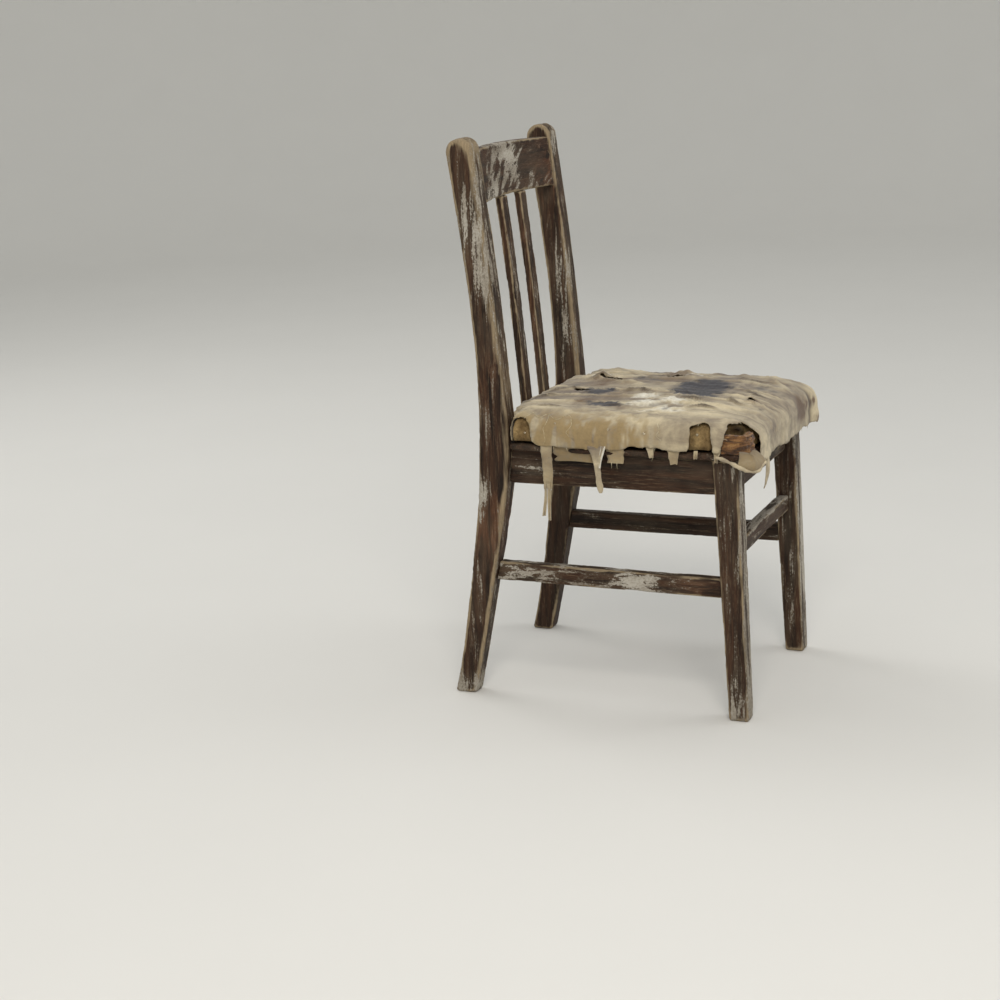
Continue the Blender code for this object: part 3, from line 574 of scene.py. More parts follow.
def seat_plan(spacing):
    """Even points round the plan of the seat with their outward directions."""
    corners = []
    for start, x, y in ((180, NEAR_X + CORNER, FRONT_Y + CORNER), (270, FAR_X - CORNER, FRONT_Y + CORNER)):
        for degrees in range(start, start + 91, 10):
            angle = math.radians(degrees)
            corners.append((x + CORNER * math.cos(angle), y + CORNER * math.sin(angle)))
    middle = MIDDLE[0]
    corners += [(FAR_X, BACK_Y), (middle + NOTCH, BACK_Y), (middle + NOTCH - 0.002, BETWEEN_Y),
                (middle - NOTCH + 0.002, BETWEEN_Y), (middle - NOTCH, BACK_Y), (NEAR_X, BACK_Y)]
    corners = np.array(corners)
    around = walked(np.vstack([corners, corners[:1]]))[-1]
    plan = even_ring(corners, 4 * int(around / spacing / 4))
    tangent = calmed(np.roll(plan, -1, axis=0) - np.roll(plan, 1, axis=0), 6)
    tangent /= np.linalg.norm(tangent, axis=1)[:, None]
    return plan, np.stack([tangent[:, 1], -tangent[:, 0]], axis=1)


def skin_grid(spacing):
    """Rows of points over the padding from the hem to the middle: places, directions out and cloth coordinates."""
    plan, outward = seat_plan(spacing)
    side = curve_through(SIDE_PROFILE, spacing)
    rows = []
    directions = []
    cloth = []
    tall = len(side)
    gone = walked(side)
    sink = front_fall(plan[:, 1])
    for n, (rise, inset) in enumerate(side):
        slope = np.clip((rise - 0.027) / 0.019, 0.0, 1.0)
        xy = plan - outward * inset
        z = PAD_BOTTOM + rise * (1.0 - np.where(rise > 0, sink / SHOULDER, 0.0))
        rows.append(np.column_stack([xy, z]))
        flat = outward * (1.0 - slope)
        directions.append(np.column_stack([flat, np.full(len(plan), slope + 0.02)]))
        cloth.append(plan + outward * (gone[-1] - gone[n]))
    edge = rows[-1][:, :2]
    # Past the rim the rings lose the notch between the back posts, and their corners grow rounder
    inner = np.column_stack([edge[:, 0], np.minimum(edge[:, 1], BACK_Y - SIDE_PROFILE[-1][1])])
    inner = calmed(even_ring(inner, len(inner)), CORNER_ROUNDS)
    steps = int(RING_REACH / spacing)
    for n in range(1, steps):
        scale = 1.0 - n / steps
        turned = np.clip((1.0 - scale) / 0.30, 0.0, 1.0)
        xy = np.array(MIDDLE) + (edge + (inner - edge) * turned - np.array(MIDDLE)) * scale
        part = np.clip((1.0 - scale) / 0.10, 0.0, 1.0)
        lift = SIDE_PROFILE[-1][0] + (SHOULDER - SIDE_PROFILE[-1][0]) * part * (2.0 - part)
        lumps = 0.0016 * np.sin(31.0 * xy[:, 0] + 0.6) * np.sin(27.0 * xy[:, 1] + 1.1)
        z = PAD_BOTTOM + lift + CROWN * (1.0 - scale ** 2) + lumps * (1.0 - scale ** 4) - front_fall(xy[:, 1])
        rows.append(np.column_stack([xy, z]))
        directions.append(np.tile([0.0, 0.0, 1.0], (len(plan), 1)))
        cloth.append(xy)
    places = np.array(rows)
    ways = np.array(directions)
    ways /= np.linalg.norm(ways, axis=2)[:, :, None]
    # Rings near the middle use each second and then each fourth point
    skips = [1] * tall + [1 if 2 * n < steps else 2 if 4 * n < 3 * steps else 4 for n in range(1, steps)]
    return places, ways, np.array(cloth), tall, skips


def grid_faces(count, skips):
    """Faces between the rings of the grid, as arrays of corners with equal lengths."""
    squares = []
    thirds = []
    for level, (skip, following) in enumerate(zip(skips, skips[1:])):
        low = level * count + np.arange(0, count, skip)
        after = np.roll(low, -1)
        if skip == following:
            squares.append(np.stack([low, after, after + count, low + count], axis=1))
        else:
            first, half, last = low[::2], low[1::2], np.roll(low[::2], -1)
            thirds += [np.stack([first, half, first + count], axis=1), np.stack([half, last, last + count], axis=1),
                       np.stack([half, last + count, first + count], axis=1)]
    return np.concatenate(squares), np.concatenate(thirds)


# ---------------------------------------------------------------- padding

def foam_padding():
    """Old polyurethane foam and felt: khaki, dull and crumbling, with painted shade in the recesses of the broken
    corner, the rips and the holes.
    """
    made, tree, shader = new_material("crumbling_khaki_foam")
    where = add(tree, "ShaderNodeTexCoord").outputs["Object"]
    patches = add(tree, "ShaderNodeTexNoise", {
        "Vector": where, "Scale": 38.0, "Detail": 7.0, "Roughness": 0.6}).outputs["Fac"]
    cells = add(tree, "ShaderNodeTexVoronoi", {"Vector": where, "Scale": 420.0}).outputs["Distance"]
    grit = add(tree, "ShaderNodeTexNoise", {
        "Vector": where, "Scale": 260.0, "Detail": 6.0, "Roughness": 0.75}).outputs["Fac"]
    tone = add(tree, "ShaderNodeMapRange", {"Value": patches, "From Min": 0.35, "From Max": 0.68}).outputs["Result"]
    base = add(tree, "ShaderNodeMix", {
        0: tone, 6: linear("695437"), 7: linear("a58c61")}, data_type="RGBA").outputs[2]
    speck = add(tree, "ShaderNodeMapRange", {
        "Value": grit, "From Min": 0.3, "From Max": 0.7, "To Min": 0.65, "To Max": 1.3}).outputs["Result"]
    foam = add(tree, "ShaderNodeMix", {
        0: 1.0, 6: base, 7: speck}, data_type="RGBA", blend_type="MULTIPLY").outputs[2]
    # Painted shade: near-black where the foam lies deep in the broken corner, the side rips and the holes on top
    opening_shade = add(tree, "ShaderNodeAttribute", attribute_name="opening_shade").outputs["Fac"]
    colour_out = add(tree, "ShaderNodeMix", {
        0: opening_shade, 6: foam, 7: linear("1e150e")}, data_type="RGBA").outputs[2]
    tree.links.new(colour_out, shader.inputs["Base Color"])
    shader.inputs["Roughness"].default_value = 0.95
    shader.inputs["Specular IOR Level"].default_value = 0.15
    height = add(tree, "ShaderNodeMath", {0: cells, 1: 0.8, 2: grit}, operation="MULTIPLY_ADD").outputs[0]
    bump = add(tree, "ShaderNodeBump", {"Height": height, "Strength": 0.7, "Distance": 0.0012})
    tree.links.new(bump.outputs["Normal"], shader.inputs["Normal"])
    return made


def swollen(obj, frames, pressure, cap):
    """Let a closed mesh swell as cloth under pressure, with a limit on how far a point moves."""
    start = points_of(obj.data)
    modifier = obj.modifiers.new("swell", "CLOTH")
    cloth = modifier.settings
    cloth.quality = 5
    cloth.mass = 0.3
    cloth.use_pressure = True
    cloth.uniform_pressure_force = pressure
    cloth.effector_weights.gravity = 0.0
    cloth.tension_stiffness = 12.0
    cloth.compression_stiffness = 12.0
    cloth.bending_stiffness = 0.6
    modifier.point_cache.frame_start = 1
    modifier.point_cache.frame_end = frames
    for number in range(1, frames + 1):
        bpy.context.scene.frame_set(number)
    end = points_of(evaluated_mesh(obj))
    obj.modifiers.remove(modifier)
    bpy.context.scene.frame_set(1)
    move = end - start
    far = np.linalg.norm(move, axis=1)
    keep = np.minimum(1.0, cap / np.maximum(far, 1e-9))
    set_points(obj.data, start + move * keep[:, None])


PAD_VOXEL = 0.0058
PAD_SHRINK = 0.0030
SWELL_FRAMES = 20
SWELL_PRESSURE = 4.0
SWELL_LIMIT = 0.003
# Painted shade on the foam: in the recess of the broken corner, at the edges of the side rips and in two holes on top
OPENING_SHADE_SPOTS = [
    ((-0.178, -0.225, 0.447), (0.038, 0.030, 0.014), 1.3), ((-0.19, -0.143, 0.430), (0.02, 0.005, 0.03), 0.55),
    ((-0.19, -0.160, 0.413), (0.02, 0.03, 0.006), 0.65), ((-0.19, -0.160, 0.450), (0.02, 0.03, 0.004), 0.5),
    ((-0.19, 0.125, 0.413), (0.02, 0.03, 0.006), 0.65), ((-0.19, 0.104, 0.43), (0.02, 0.005, 0.03), 0.45),
    ((-0.023, -0.192, 0.46), (0.02, 0.02, 0.02), 0.8), ((0.06, 0.055, 0.46), (0.03, 0.03, 0.02), 0.6),
]


class CHAIR_OT_seat_padding(bpy.types.Operator):
    """Lumpy foam padding that shows through the rips"""
    bl_idname = "chair.seat_padding"
    bl_label = "Seat padding"

    def execute(self, context):
        mesh = remeshed(merged_copy("seat_pad"), PAD_VOXEL)
        set_points(mesh, points_of(mesh) - normals_of(mesh) * PAD_SHRINK)
        pad = linked("foam_pad", mesh)
        swollen(pad, SWELL_FRAMES, SWELL_PRESSURE, SWELL_LIMIT)
        points = points_of(pad.data)
        lumps = rough_field(points, 55.0, 3.0, 3)
        set_points(pad.data, points + normals_of(pad.data) * (0.0011 * lumps[:, None] - 0.0006))
        # Painted shade of the recesses, stored for the foam's material
        put_attribute(pad.data, "opening_shade", blobs(points, 0.0, OPENING_SHADE_SPOTS))
        smooth(pad.data)
        finer = pad.modifiers.new("finer", "SUBSURF")
        finer.levels = 1
        finer.render_levels = 1
        finished(pad, foam_padding(), ["seat_pad"])
        return {"FINISHED"}


# ---------------------------------------------------------------- inner stuffing

def stuffing_felt():
    """Needled jute and coir felt: orange-brown, in torn layers, dark in the gaps."""
    look = bpy.context.scene.torn_seat
    made, tree, shader = new_material("torn_jute_felt")
    where = add(tree, "ShaderNodeTexCoord").outputs["Object"]
    flat = add(tree, "ShaderNodeMapping", {"Vector": where, "Scale": (0.35, 0.35, 1.6)}).outputs["Vector"]
    layers = add(tree, "ShaderNodeTexNoise", {
        "Vector": flat, "Scale": 130.0, "Detail": 6.0, "Roughness": 0.65, "Distortion": 0.6}).outputs["Fac"]
    fibres = add(tree, "ShaderNodeTexNoise", {
        "Vector": where, "Scale": 520.0, "Detail": 5.0, "Roughness": 0.8, "Distortion": 1.0}).outputs["Fac"]
    ramp = add(tree, "ShaderNodeValToRGB", {"Fac": layers})
    ramp.color_ramp.elements[0].position = 0.40
    ramp.color_ramp.elements[0].color = linear("462e1b")
    ramp.color_ramp.elements[1].position = 0.70
    ramp.color_ramp.elements[1].color = linear("b08a57")
    middle = ramp.color_ramp.elements.new(0.53)
    middle.color = tuple(look.stuffing)
    speck = add(tree, "ShaderNodeMapRange", {
        "Value": fibres, "From Min": 0.3, "From Max": 0.7, "To Min": 0.6, "To Max": 1.4}).outputs["Result"]
    colour_out = add(tree, "ShaderNodeMix", {
        0: 1.0, 6: ramp.outputs["Color"], 7: speck}, data_type="RGBA", blend_type="MULTIPLY").outputs[2]
    tree.links.new(colour_out, shader.inputs["Base Color"])
    shader.inputs["Roughness"].default_value = 0.95
    shader.inputs["Sheen Weight"].default_value = 0.2
    height = add(tree, "ShaderNodeMath", {0: layers, 1: 2.0, 2: fibres}, operation="MULTIPLY_ADD").outputs[0]
    bump = add(tree, "ShaderNodeBump", {"Height": height, "Strength": 0.9, "Distance": 0.0012})
    tree.links.new(bump.outputs["Normal"], shader.inputs["Normal"])
    return made


WAD_VOXEL = 0.0011
# Height of one torn layer of the stuffing, and where its lowest one lies
WAD_LAYER = 0.0072
WAD_BOTTOM = PAD_BOTTOM + 0.0004
# The loosened stuffing has risen to meet the padding that overhangs it
WAD_SWELL = 1.32


class CHAIR_OT_corner_stuffing(bpy.types.Operator):
    """Layered stuffing in the broken corner of the seat"""
    bl_idname = "chair.corner_stuffing"
    bl_label = "Corner stuffing"

    def execute(self, context):
        mesh = remeshed(merged_copy("corner_wad"), WAD_VOXEL)
        points = points_of(mesh)
        normals = normals_of(mesh)
        level = points[:, 2] - PAD_BOTTOM
        wander = field(points, 60.0, 2.0)
        bands = np.sin((level + 0.0016 * wander) * 2.0 * math.pi / WAD_LAYER)
        torn = rough_field(points, (150.0, 150.0, 260.0), 8.0, 4)
        move = -0.0008 + 0.0009 * bands + 0.0016 * torn
        points = points + normals * move[:, None]
        points[:, 2] = WAD_BOTTOM + (points[:, 2] - WAD_BOTTOM) * WAD_SWELL
        set_points(mesh, points)
        smooth(mesh)
        wad = linked("corner_stuffing", mesh)
        finished(wad, stuffing_felt(), ["corner_wad"])
        return {"FINISHED"}


# ---------------------------------------------------------------- torn cover

# Drawn distance between two threads of the weave, and how many waves the wave texture fits in one unit at scale 1
THREAD_PITCH = 0.0013
WAVE_UNIT = 20.0
# Above this height a point lies on top of the seat
TOP_LEVEL = 0.44


def torn_linen(name):
    """Stiff, dirty linen union cloth, glued to its padding by age.

    Plain woven, so a fine grid shows in the bump; cream where it is cleaner, khaki where the foam
    has soaked through, with blue-grey damp stains that have brown rims; the brown also paints the shadow
    in the fold at the far front corner. Painted shade darkens the creases and slits, and the wrinkle tops
    are lighter, partly worn and partly painted highlight. The real threads are 0.4 mm apart; they are
    drawn 1.3 mm apart so that they show.
    """
    look = bpy.context.scene.torn_seat
    made, tree, shader = new_material(name)
    where = add(tree, "ShaderNodeTexCoord").outputs["Object"]
    grid = add(tree, "ShaderNodeUVMap", uv_map="cloth").outputs["UV"]
    zone = {key: add(tree, "ShaderNodeAttribute", attribute_name=key).outputs["Fac"]
            for key in ("khaki", "damp", "rust", "white", "crease", "ridge", "clean")}
    drawn = add(tree, "ShaderNodeMapping", {
        "Vector": where, "Rotation": (0.0, 0.0, 0.35), "Scale": (1.0, 0.36, 0.9)}).outputs["Vector"]
    patches = add(tree, "ShaderNodeTexNoise", {
        "Vector": drawn, "Scale": 30.0, "Detail": 7.0, "Roughness": 0.60, "Distortion": 0.9}).outputs["Fac"]
    mottle = add(tree, "ShaderNodeTexNoise", {
        "Vector": where, "Scale": 150.0, "Detail": 8.0, "Roughness": 0.72}).outputs["Fac"]
    fluff = add(tree, "ShaderNodeTexNoise", {
        "Vector": where, "Scale": 600.0, "Detail": 5.0, "Roughness": 0.8, "Distortion": 1.2}).outputs["Fac"]
    # Wrinkle tops and lips are lighter: partly wear, partly painted highlight
    wear_and_highlight = add(tree, "ShaderNodeMath", {0: zone["ridge"], 1: 0.20, 2: patches},
                    operation="MULTIPLY_ADD").outputs[0]
    cleaner = add(tree, "ShaderNodeMath", {0: zone["clean"], 1: 0.34, 2: wear_and_highlight},
                  operation="MULTIPLY_ADD").outputs[0]
    tone = add(tree, "ShaderNodeMapRange", {
        "Value": cleaner, "From Min": 0.50, "From Max": 0.90}).outputs["Result"]
    base = add(tree, "ShaderNodeMix", {
        0: tone, 6: tuple(look.grime), 7: tuple(look.cream)}, data_type="RGBA").outputs[2]
    spread = add(tree, "ShaderNodeMath", {0: mottle, 1: 0.45, 2: patches}, operation="MULTIPLY_ADD").outputs[0]
    # Khaki from the foam, brown rims and the painted shadow in the fold at the far front corner, blue-grey damp and
    # the bleached patch: each zone with the noise that breaks it up, the span of their sum that it fades in over, its
    # strength and its colour
    for key, uneven, low, high, most, tint in (
            ("khaki", mottle, 0.76, 1.34, 0.90, look.khaki), ("rust", patches, 0.78, 1.15, 0.85, look.brown),
            ("damp", spread, 1.07, 1.36, 0.97, look.stain), ("white", spread, 1.08, 1.45, 0.88, look.white)):
        total = add(tree, "ShaderNodeMath", {0: zone[key], 1: uneven}, operation="ADD").outputs[0]
        mask = add(tree, "ShaderNodeMapRange", {
            "Value": total, "From Min": low, "From Max": high, "To Max": most}).outputs["Result"]
        base = add(tree, "ShaderNodeMix", {0: mask, 6: base, 7: tuple(tint)}, data_type="RGBA").outputs[2]
    # Painted shade: dark brown in the creases, slits and turned fold, and on the pieces that lie behind others
    crease_shaded = add(tree, "ShaderNodeMix", {
        0: zone["crease"], 6: base, 7: linear("46392d")}, data_type="RGBA").outputs[2]
    speck = add(tree, "ShaderNodeMapRange", {
        "Value": mottle, "From Min": 0.3, "From Max": 0.7, "To Min": 0.86, "To Max": 1.12}).outputs["Result"]
    colour_out = add(tree, "ShaderNodeMix", {
        0: 1.0, 6: crease_shaded, 7: speck}, data_type="RGBA", blend_type="MULTIPLY").outputs[2]
    tree.links.new(colour_out, shader.inputs["Base Color"])
    shader.inputs["Roughness"].default_value = 0.92
    shader.inputs["Sheen Weight"].default_value = 0.12
    shader.inputs["Sheen Roughness"].default_value = 0.6
    warp, weft = (add(tree, "ShaderNodeTexWave", {
        "Vector": grid, "Scale": 1.0 / (THREAD_PITCH * WAVE_UNIT), "Distortion": 0.6, "Detail": 1.0,
        "Detail Scale": 2.0}, bands_direction=way).outputs["Fac"] for way in ("X", "Y"))
    weave = add(tree, "ShaderNodeMath", {0: warp, 1: weft}, operation="MULTIPLY").outputs[0]
    fine = add(tree, "ShaderNodeMath", {0: mottle, 1: 1.1, 2: weave}, operation="MULTIPLY_ADD").outputs[0]
    height = add(tree, "ShaderNodeMath", {0: fluff, 1: 0.35, 2: fine}, operation="MULTIPLY_ADD").outputs[0]
    bump = add(tree, "ShaderNodeBump", {"Height": height, "Strength": 0.5, "Distance": 0.0005})
    tree.links.new(bump.outputs["Normal"], shader.inputs["Normal"])
    return made


# Hem of the cover on the near side: place along Y and height
NEAR_HEM = [(-0.26, 0.414), (-0.144, 0.414), (-0.125, 0.413), (-0.105, 0.415), (-0.090, 0.418), (-0.050, 0.417),
            (-0.037, 0.410), (-0.012, 0.409), (0.018, 0.409), (0.052, 0.411), (0.072, 0.411), (0.093, 0.411),
            (0.100, 0.415), (0.142, 0.416)]
FRONT_HEM = [(-0.19, 0.400), (-0.126, 0.394), (-0.10, 0.392), (-0.06, 0.397), (0.0, 0.390), (0.05, 0.388),
             (0.10, 0.391), (0.15, 0.388), (0.195, 0.392)]
# Openings torn in the near side, as corners along Y and Z
SIDE_RIPS = [
    [(-0.144, 0.447), (-0.158, 0.450), (-0.173, 0.451), (-0.178, 0.432), (-0.182, 0.380), (-0.143, 0.380)],
    [(0.104, 0.400), (0.106, 0.440), (0.118, 0.449), (0.150, 0.447), (0.150, 0.400)],
]
# Near edge of the broken corner: height and place along Y
CORNER_RIP = [(0.380, -0.186), (0.405, -0.187), (0.416, -0.190), (0.430, -0.195), (0.451, -0.199)]
CORNER_RIP_TOP = 0.4495
CORNER_RIP_X = -0.150
# Holes on top: centre, half sizes, turn in degrees and how much the lip stands up
TOP_RIPS = [
    ((-0.023, -0.192), (0.012, 0.006), 20, 0.0035),
    ((0.060, 0.055), (0.036, 0.0060), 60, 0.0060),
    ((-0.020, 0.082), (0.014, 0.0050), 80, 0.0035),
    ((0.104, -0.034), (0.020, 0.0055), 80, 0.0050),
]
# Small crumples that stand up from the cloth: centre, radius and height
CRUMPLES = [((0.160, 0.083), 0.013, 0.0060), ((0.142, -0.036), 0.013, 0.0075), ((0.120, -0.052), 0.010, 0.0050),
            ((0.146, -0.137), 0.014, 0.0050), ((0.138, -0.186), 0.012, 0.0050), ((0.088, 0.085), 0.010, 0.0065),
            ((-0.075, -0.158), 0.014, 0.0040), ((0.165, -0.090), 0.010, 0.0035)]
DAMP_SPOTS = [
    ((0.008, -0.102, 0.46), (0.066, 0.050, 0.2), 1.05), ((0.075, -0.105, 0.46), (0.05, 0.035, 0.2), 0.50),
    ((-0.112, 0.012, 0.46), (0.015, 0.034, 0.2), 1.0), ((-0.022, 0.052, 0.46), (0.020, 0.026, 0.2), 0.85),
    ((0.032, 0.112, 0.46), (0.030, 0.020, 0.2), 0.55), ((0.074, -0.188, 0.46), (0.05, 0.024, 0.2), 0.45),
    ((-0.06, 0.13, 0.46), (0.06, 0.014, 0.2), 0.42), ((0.09, 0.02, 0.46), (0.04, 0.05, 0.2), 0.50),
    ((-0.050, -0.222, 0.45), (0.05, 0.010, 0.2), 0.40), ((0.10, -0.225, 0.45), (0.06, 0.014, 0.2), 0.35),
    ((-0.120, 0.085, 0.46), (0.016, 0.030, 0.2), 0.35),
]
RUST_SPOTS = [
    ((-0.050, 0.015, 0.46), (0.055, 0.045, 0.2), 0.48), ((0.060, 0.055, 0.46), (0.035, 0.050, 0.2), 0.55),
    ((-0.023, -0.192, 0.46), (0.022, 0.014, 0.2), 0.72), ((-0.095, 0.060, 0.46), (0.03, 0.03, 0.2), 0.50),
    ((0.10, -0.03, 0.46), (0.05, 0.05, 0.2), 0.50), ((-0.125, -0.020, 0.46), (0.018, 0.030, 0.2), 0.50),
    ((0.0, 0.10, 0.46), (0.10, 0.04, 0.2), 0.28), ((0.200, -0.225, 0.42), (0.012, 0.02, 0.03), 0.50),
    ((0.02, -0.245, 0.42), (0.05, 0.02, 0.02), 0.25), ((0.140, -0.160, 0.46), (0.03, 0.04, 0.2), 0.35),
    # The last three spots, on the front of the cover by the far front corner, are brown stain and also the painted
    # shadow inside the fold there
    ((0.150, -0.020, 0.46), (0.014, 0.020, 0.2), 0.55), ((0.100, -0.246, 0.424), (0.026, 0.05, 0.022), 1.15),
    ((0.152, -0.248, 0.425), (0.011, 0.05, 0.013), 0.85), ((0.176, -0.250, 0.390), (0.020, 0.05, 0.012), 0.80),
]
WHITE_SPOTS = [
    ((-0.092, -0.040, 0.46), (0.024, 0.030, 0.2), 0.66), ((-0.045, -0.035, 0.46), (0.016, 0.032, 0.2), 0.60),
    ((-0.070, -0.088, 0.46), (0.022, 0.022, 0.2), 0.62), ((-0.125, -0.088, 0.46), (0.022, 0.026, 0.2), 0.66),
    ((-0.150, -0.055, 0.46), (0.008, 0.020, 0.2), 0.45), ((0.092, 0.088, 0.46), (0.018, 0.026, 0.2), 0.55),
    ((0.128, -0.056, 0.46), (0.012, 0.014, 0.2), 0.60), ((-0.187, 0.035, 0.400), (0.02, 0.035, 0.012), 0.30),
    ((-0.19, -0.013, 0.385), (0.02, 0.006, 0.03), 0.55), ((-0.19, -0.10, 0.43), (0.02, 0.05, 0.02), 0.15),
    ((-0.12, 0.125, 0.46), (0.05, 0.015, 0.2), 0.22),
]
# Where the cloth is cleanest and where it is greyest
CLEAN_SPOTS = [
    ((-0.100, -0.165, 0.45), (0.060, 0.050, 0.05), 0.36), ((-0.140, -0.090, 0.45), (0.040, 0.050, 0.04), 0.30),
    ((0.060, -0.235, 0.43), (0.090, 0.040, 0.05), -0.32), ((0.188, -0.245, 0.415), (0.022, 0.030, 0.04), 0.60),
    ((-0.140, 0.100, 0.45), (0.030, 0.060, 0.02), 0.30), ((0.090, 0.088, 0.46), (0.03, 0.03, 0.05), 0.40),
    ((0.110, -0.090, 0.46), (0.080, 0.120, 0.05), -0.34), ((0.0, 0.080, 0.46), (0.090, 0.060, 0.05), -0.10),
]
# Slits and hard creases on top: the points that each runs through; each is drawn dark as painted shade, not cut, with
# a raised, lighter lip behind
SLITS = [
    [(-0.120, 0.160), (-0.098, 0.140), (-0.092, 0.112)], [(-0.085, 0.150), (-0.062, 0.128), (-0.055, 0.104)],
    [(-0.150, 0.120), (-0.142, 0.090), (-0.146, 0.060)], [(-0.030, 0.150), (-0.012, 0.110), (-0.020, 0.070)],
    [(-0.125, 0.020), (-0.118, -0.010), (-0.130, -0.040)], [(-0.045, -0.080), (-0.060, -0.110), (-0.050, -0.140)],
    [(0.060, -0.030), (0.076, -0.062), (0.060, -0.100)], [(0.110, 0.020), (0.118, -0.020), (0.100, -0.050)],
    [(-0.020, -0.150), (-0.050, -0.175), (-0.055, -0.205)], [(0.050, -0.160), (0.020, -0.190), (0.015, -0.225)],
    [(0.070, 0.120), (0.082, 0.090), (0.078, 0.060)], [(-0.110, -0.110), (-0.100, -0.140), (-0.112, -0.170)],
    [(0.140, -0.120), (0.120, -0.160), (0.124, -0.200)], [(-0.020, 0.020), (-0.010, -0.010), (-0.024, -0.040)],
]
# Ragged lip of the top cloth along the near shoulder: place along Y and across X
LIP = [(-0.300, -0.300), (-0.130, -0.215), (-0.100, -0.186), (-0.068, -0.166), (-0.030, -0.158),
       (0.010, -0.166), (0.035, -0.156), (0.060, -0.168), (0.090, -0.158), (0.115, -0.170), (0.150, -0.172)]
LIP_RISE = 0.0012


def inside(shape, a, b):
    """Which points lie in a closed outline."""
    found = np.zeros(len(a), dtype=bool)
    for (a0, b0), (a1, b1) in zip(shape, shape[1:] + shape[:1]):
        if b0 == b1:
            continue
        found ^= ((b0 > b) != (b1 > b)) & (a < (a1 - a0) * (b - b0) / (b1 - b0) + a0)
    return found


def rip_distance(points):
    """How far each point is from a hole on top, where 1 is the hole's edge, and how high its lip stands there."""
    nearest = np.full(len(points), 9.0)
    lip = np.zeros(len(points))
    for (cx, cy), (long, wide), turn, stand in TOP_RIPS:
        angle = math.radians(turn)
        dx = points[:, 0] - cx
        dy = points[:, 1] - cy
        u = (dx * math.cos(angle) + dy * math.sin(angle)) / long
        v = (-dx * math.sin(angle) + dy * math.cos(angle)) / wide
        far = np.where(points[:, 2] > TOP_LEVEL, np.sqrt(u * u + v * v), 9.0)
        nearest = np.minimum(nearest, far)
        gap = (far - 1.0) * wide
        lip = np.maximum(lip, stand * np.exp(-np.maximum(gap, 0.0) / 0.0045) * (far > 0.8))
    return nearest, lip


def slit_shape(points):
    """Painted shade along the drawn slits and height of the lips behind them at each point on top."""
    dark = np.zeros(len(points))
    lip = np.zeros(len(points))
    sway = 0.0035 * field(points, 70.0, 97.0)
    for number, line in enumerate(SLITS):
        path = curve_through(line, 0.004)
        away = points[:, None, :2] - path[None, :, :]
        away[:, :, 0] += sway[:, None]
        far = np.hypot(away[:, :, 0], away[:, :, 1])
        nearest = far.argmin(axis=1)
        gap = away[np.arange(len(points)), nearest, 0]
        along = nearest / (len(path) - 1)
        body = np.sin(np.pi * np.clip(along, 0.02, 0.98))
        close = (far.min(axis=1) < 0.02) & (points[:, 2] > TOP_LEVEL)
        dark = np.maximum(dark, close * body * np.exp(-(gap / 0.0030) ** 2) * (0.80 + 0.20 * (number % 2)))
        rise = np.where(gap > 0.0, np.exp(-gap / 0.0070), np.exp(-(gap / 0.0016) ** 2))
        lip = np.maximum(lip, close * body * rise * (0.0026 + 0.0012 * (number % 3)))
    return dark, lip


def under_lip(points):
    """From 0 on the top cloth to 1 on the khaki layer below its torn lip on the near side."""
    ragged = rough_field(points, (60.0, 90.0, 60.0), 77.0, 4)
    lip = np.interp(points[:, 1], *zip(*LIP)) + 0.007 * ragged
    return np.clip((lip - points[:, 0]) / 0.0035 + 0.5, 0.0, 1.0)


def cover_zones(mesh, points, strips_from, strip_white, strip_khaki):
    """Store the coloured zones of the cover for its material."""
    film = rough_field(points, (60.0, 75.0, 14.0), 21.0, 3)
    fade = np.clip((points[:, 1] + 0.125) / 0.07, 0.0, 1.0) * np.clip((0.469 - points[:, 2]) / 0.022, 0.45, 1.0)
    khaki = under_lip(points) * fade * np.clip(0.95 - 1.5 * np.clip(film + 0.02, 0.0, 1.0), 0.12, 1.0)
    wander = rough_field(points, 22.0, 25.0, 3)
    khaki = np.maximum(khaki, 0.42 * np.clip(wander + 0.1, 0.0, 1.0))
    warped = points + 0.016 * np.column_stack([rough_field(points, 38.0, 31.0, 4),
                                               rough_field(points, 38.0, 37.0, 4), np.zeros(len(points))])
    white = blobs(warped, 0.05, WHITE_SPOTS)
    khaki[strips_from:] = strip_khaki
    white[strips_from:] = strip_white
    put_attribute(mesh, "khaki", np.clip(khaki, 0.0, 1.0))
    put_attribute(mesh, "clean", blobs(warped, 0.42, CLEAN_SPOTS))
    put_attribute(mesh, "damp", blobs(warped, 0.0, DAMP_SPOTS))
    put_attribute(mesh, "rust", blobs(warped, 0.0, RUST_SPOTS))
    put_attribute(mesh, "white", np.clip(white, 0.0, 1.0))


def hanging_strip(top, rows, spacing, seed, columns=6):
    """Faces of one torn strip: top is its two upper corners, rows are shift, drop, width and distance out."""
    first = Vector(top[0])
    last = Vector(top[1])
    middle = (first + last) / 2
    half = (last - first) / 2
    outward = Vector((half.y, -half.x, 0.0)).normalized()
    if outward.dot(Vector((middle.x - MIDDLE[0], middle.y - MIDDLE[1], 0.0))) < 0:
        outward.negate()
    path = curve_through([(0.0, 0.0, 1.0, 0.0)] + [tuple(r) for r in rows], spacing)
    points = []
    for n, (shift, drop, width, out) in enumerate(path):
        part = n / (len(path) - 1)
        twist = 0.5 * noise.noise((seed, drop * 30.0, 0.0)) * part
        for k in range(columns + 1):
            side = 2.0 * k / columns - 1.0
            ragged = 1.0 + 0.18 * noise.noise((drop * 160.0, seed + side * 3.0, 2.0))
            lateral = half * side * width * ragged
            curl = 0.0022 * math.sin(side * 2.2 + seed + 40.0 * drop) * part
            bow = 0.0030 * (side * side) * part + twist * side * half.length * width
            place = middle + half.normalized() * shift + lateral + outward * (out + curl + bow)
            place.z -= drop
            points.append(tuple(place))
    return points, strip_faces(len(path), columns)


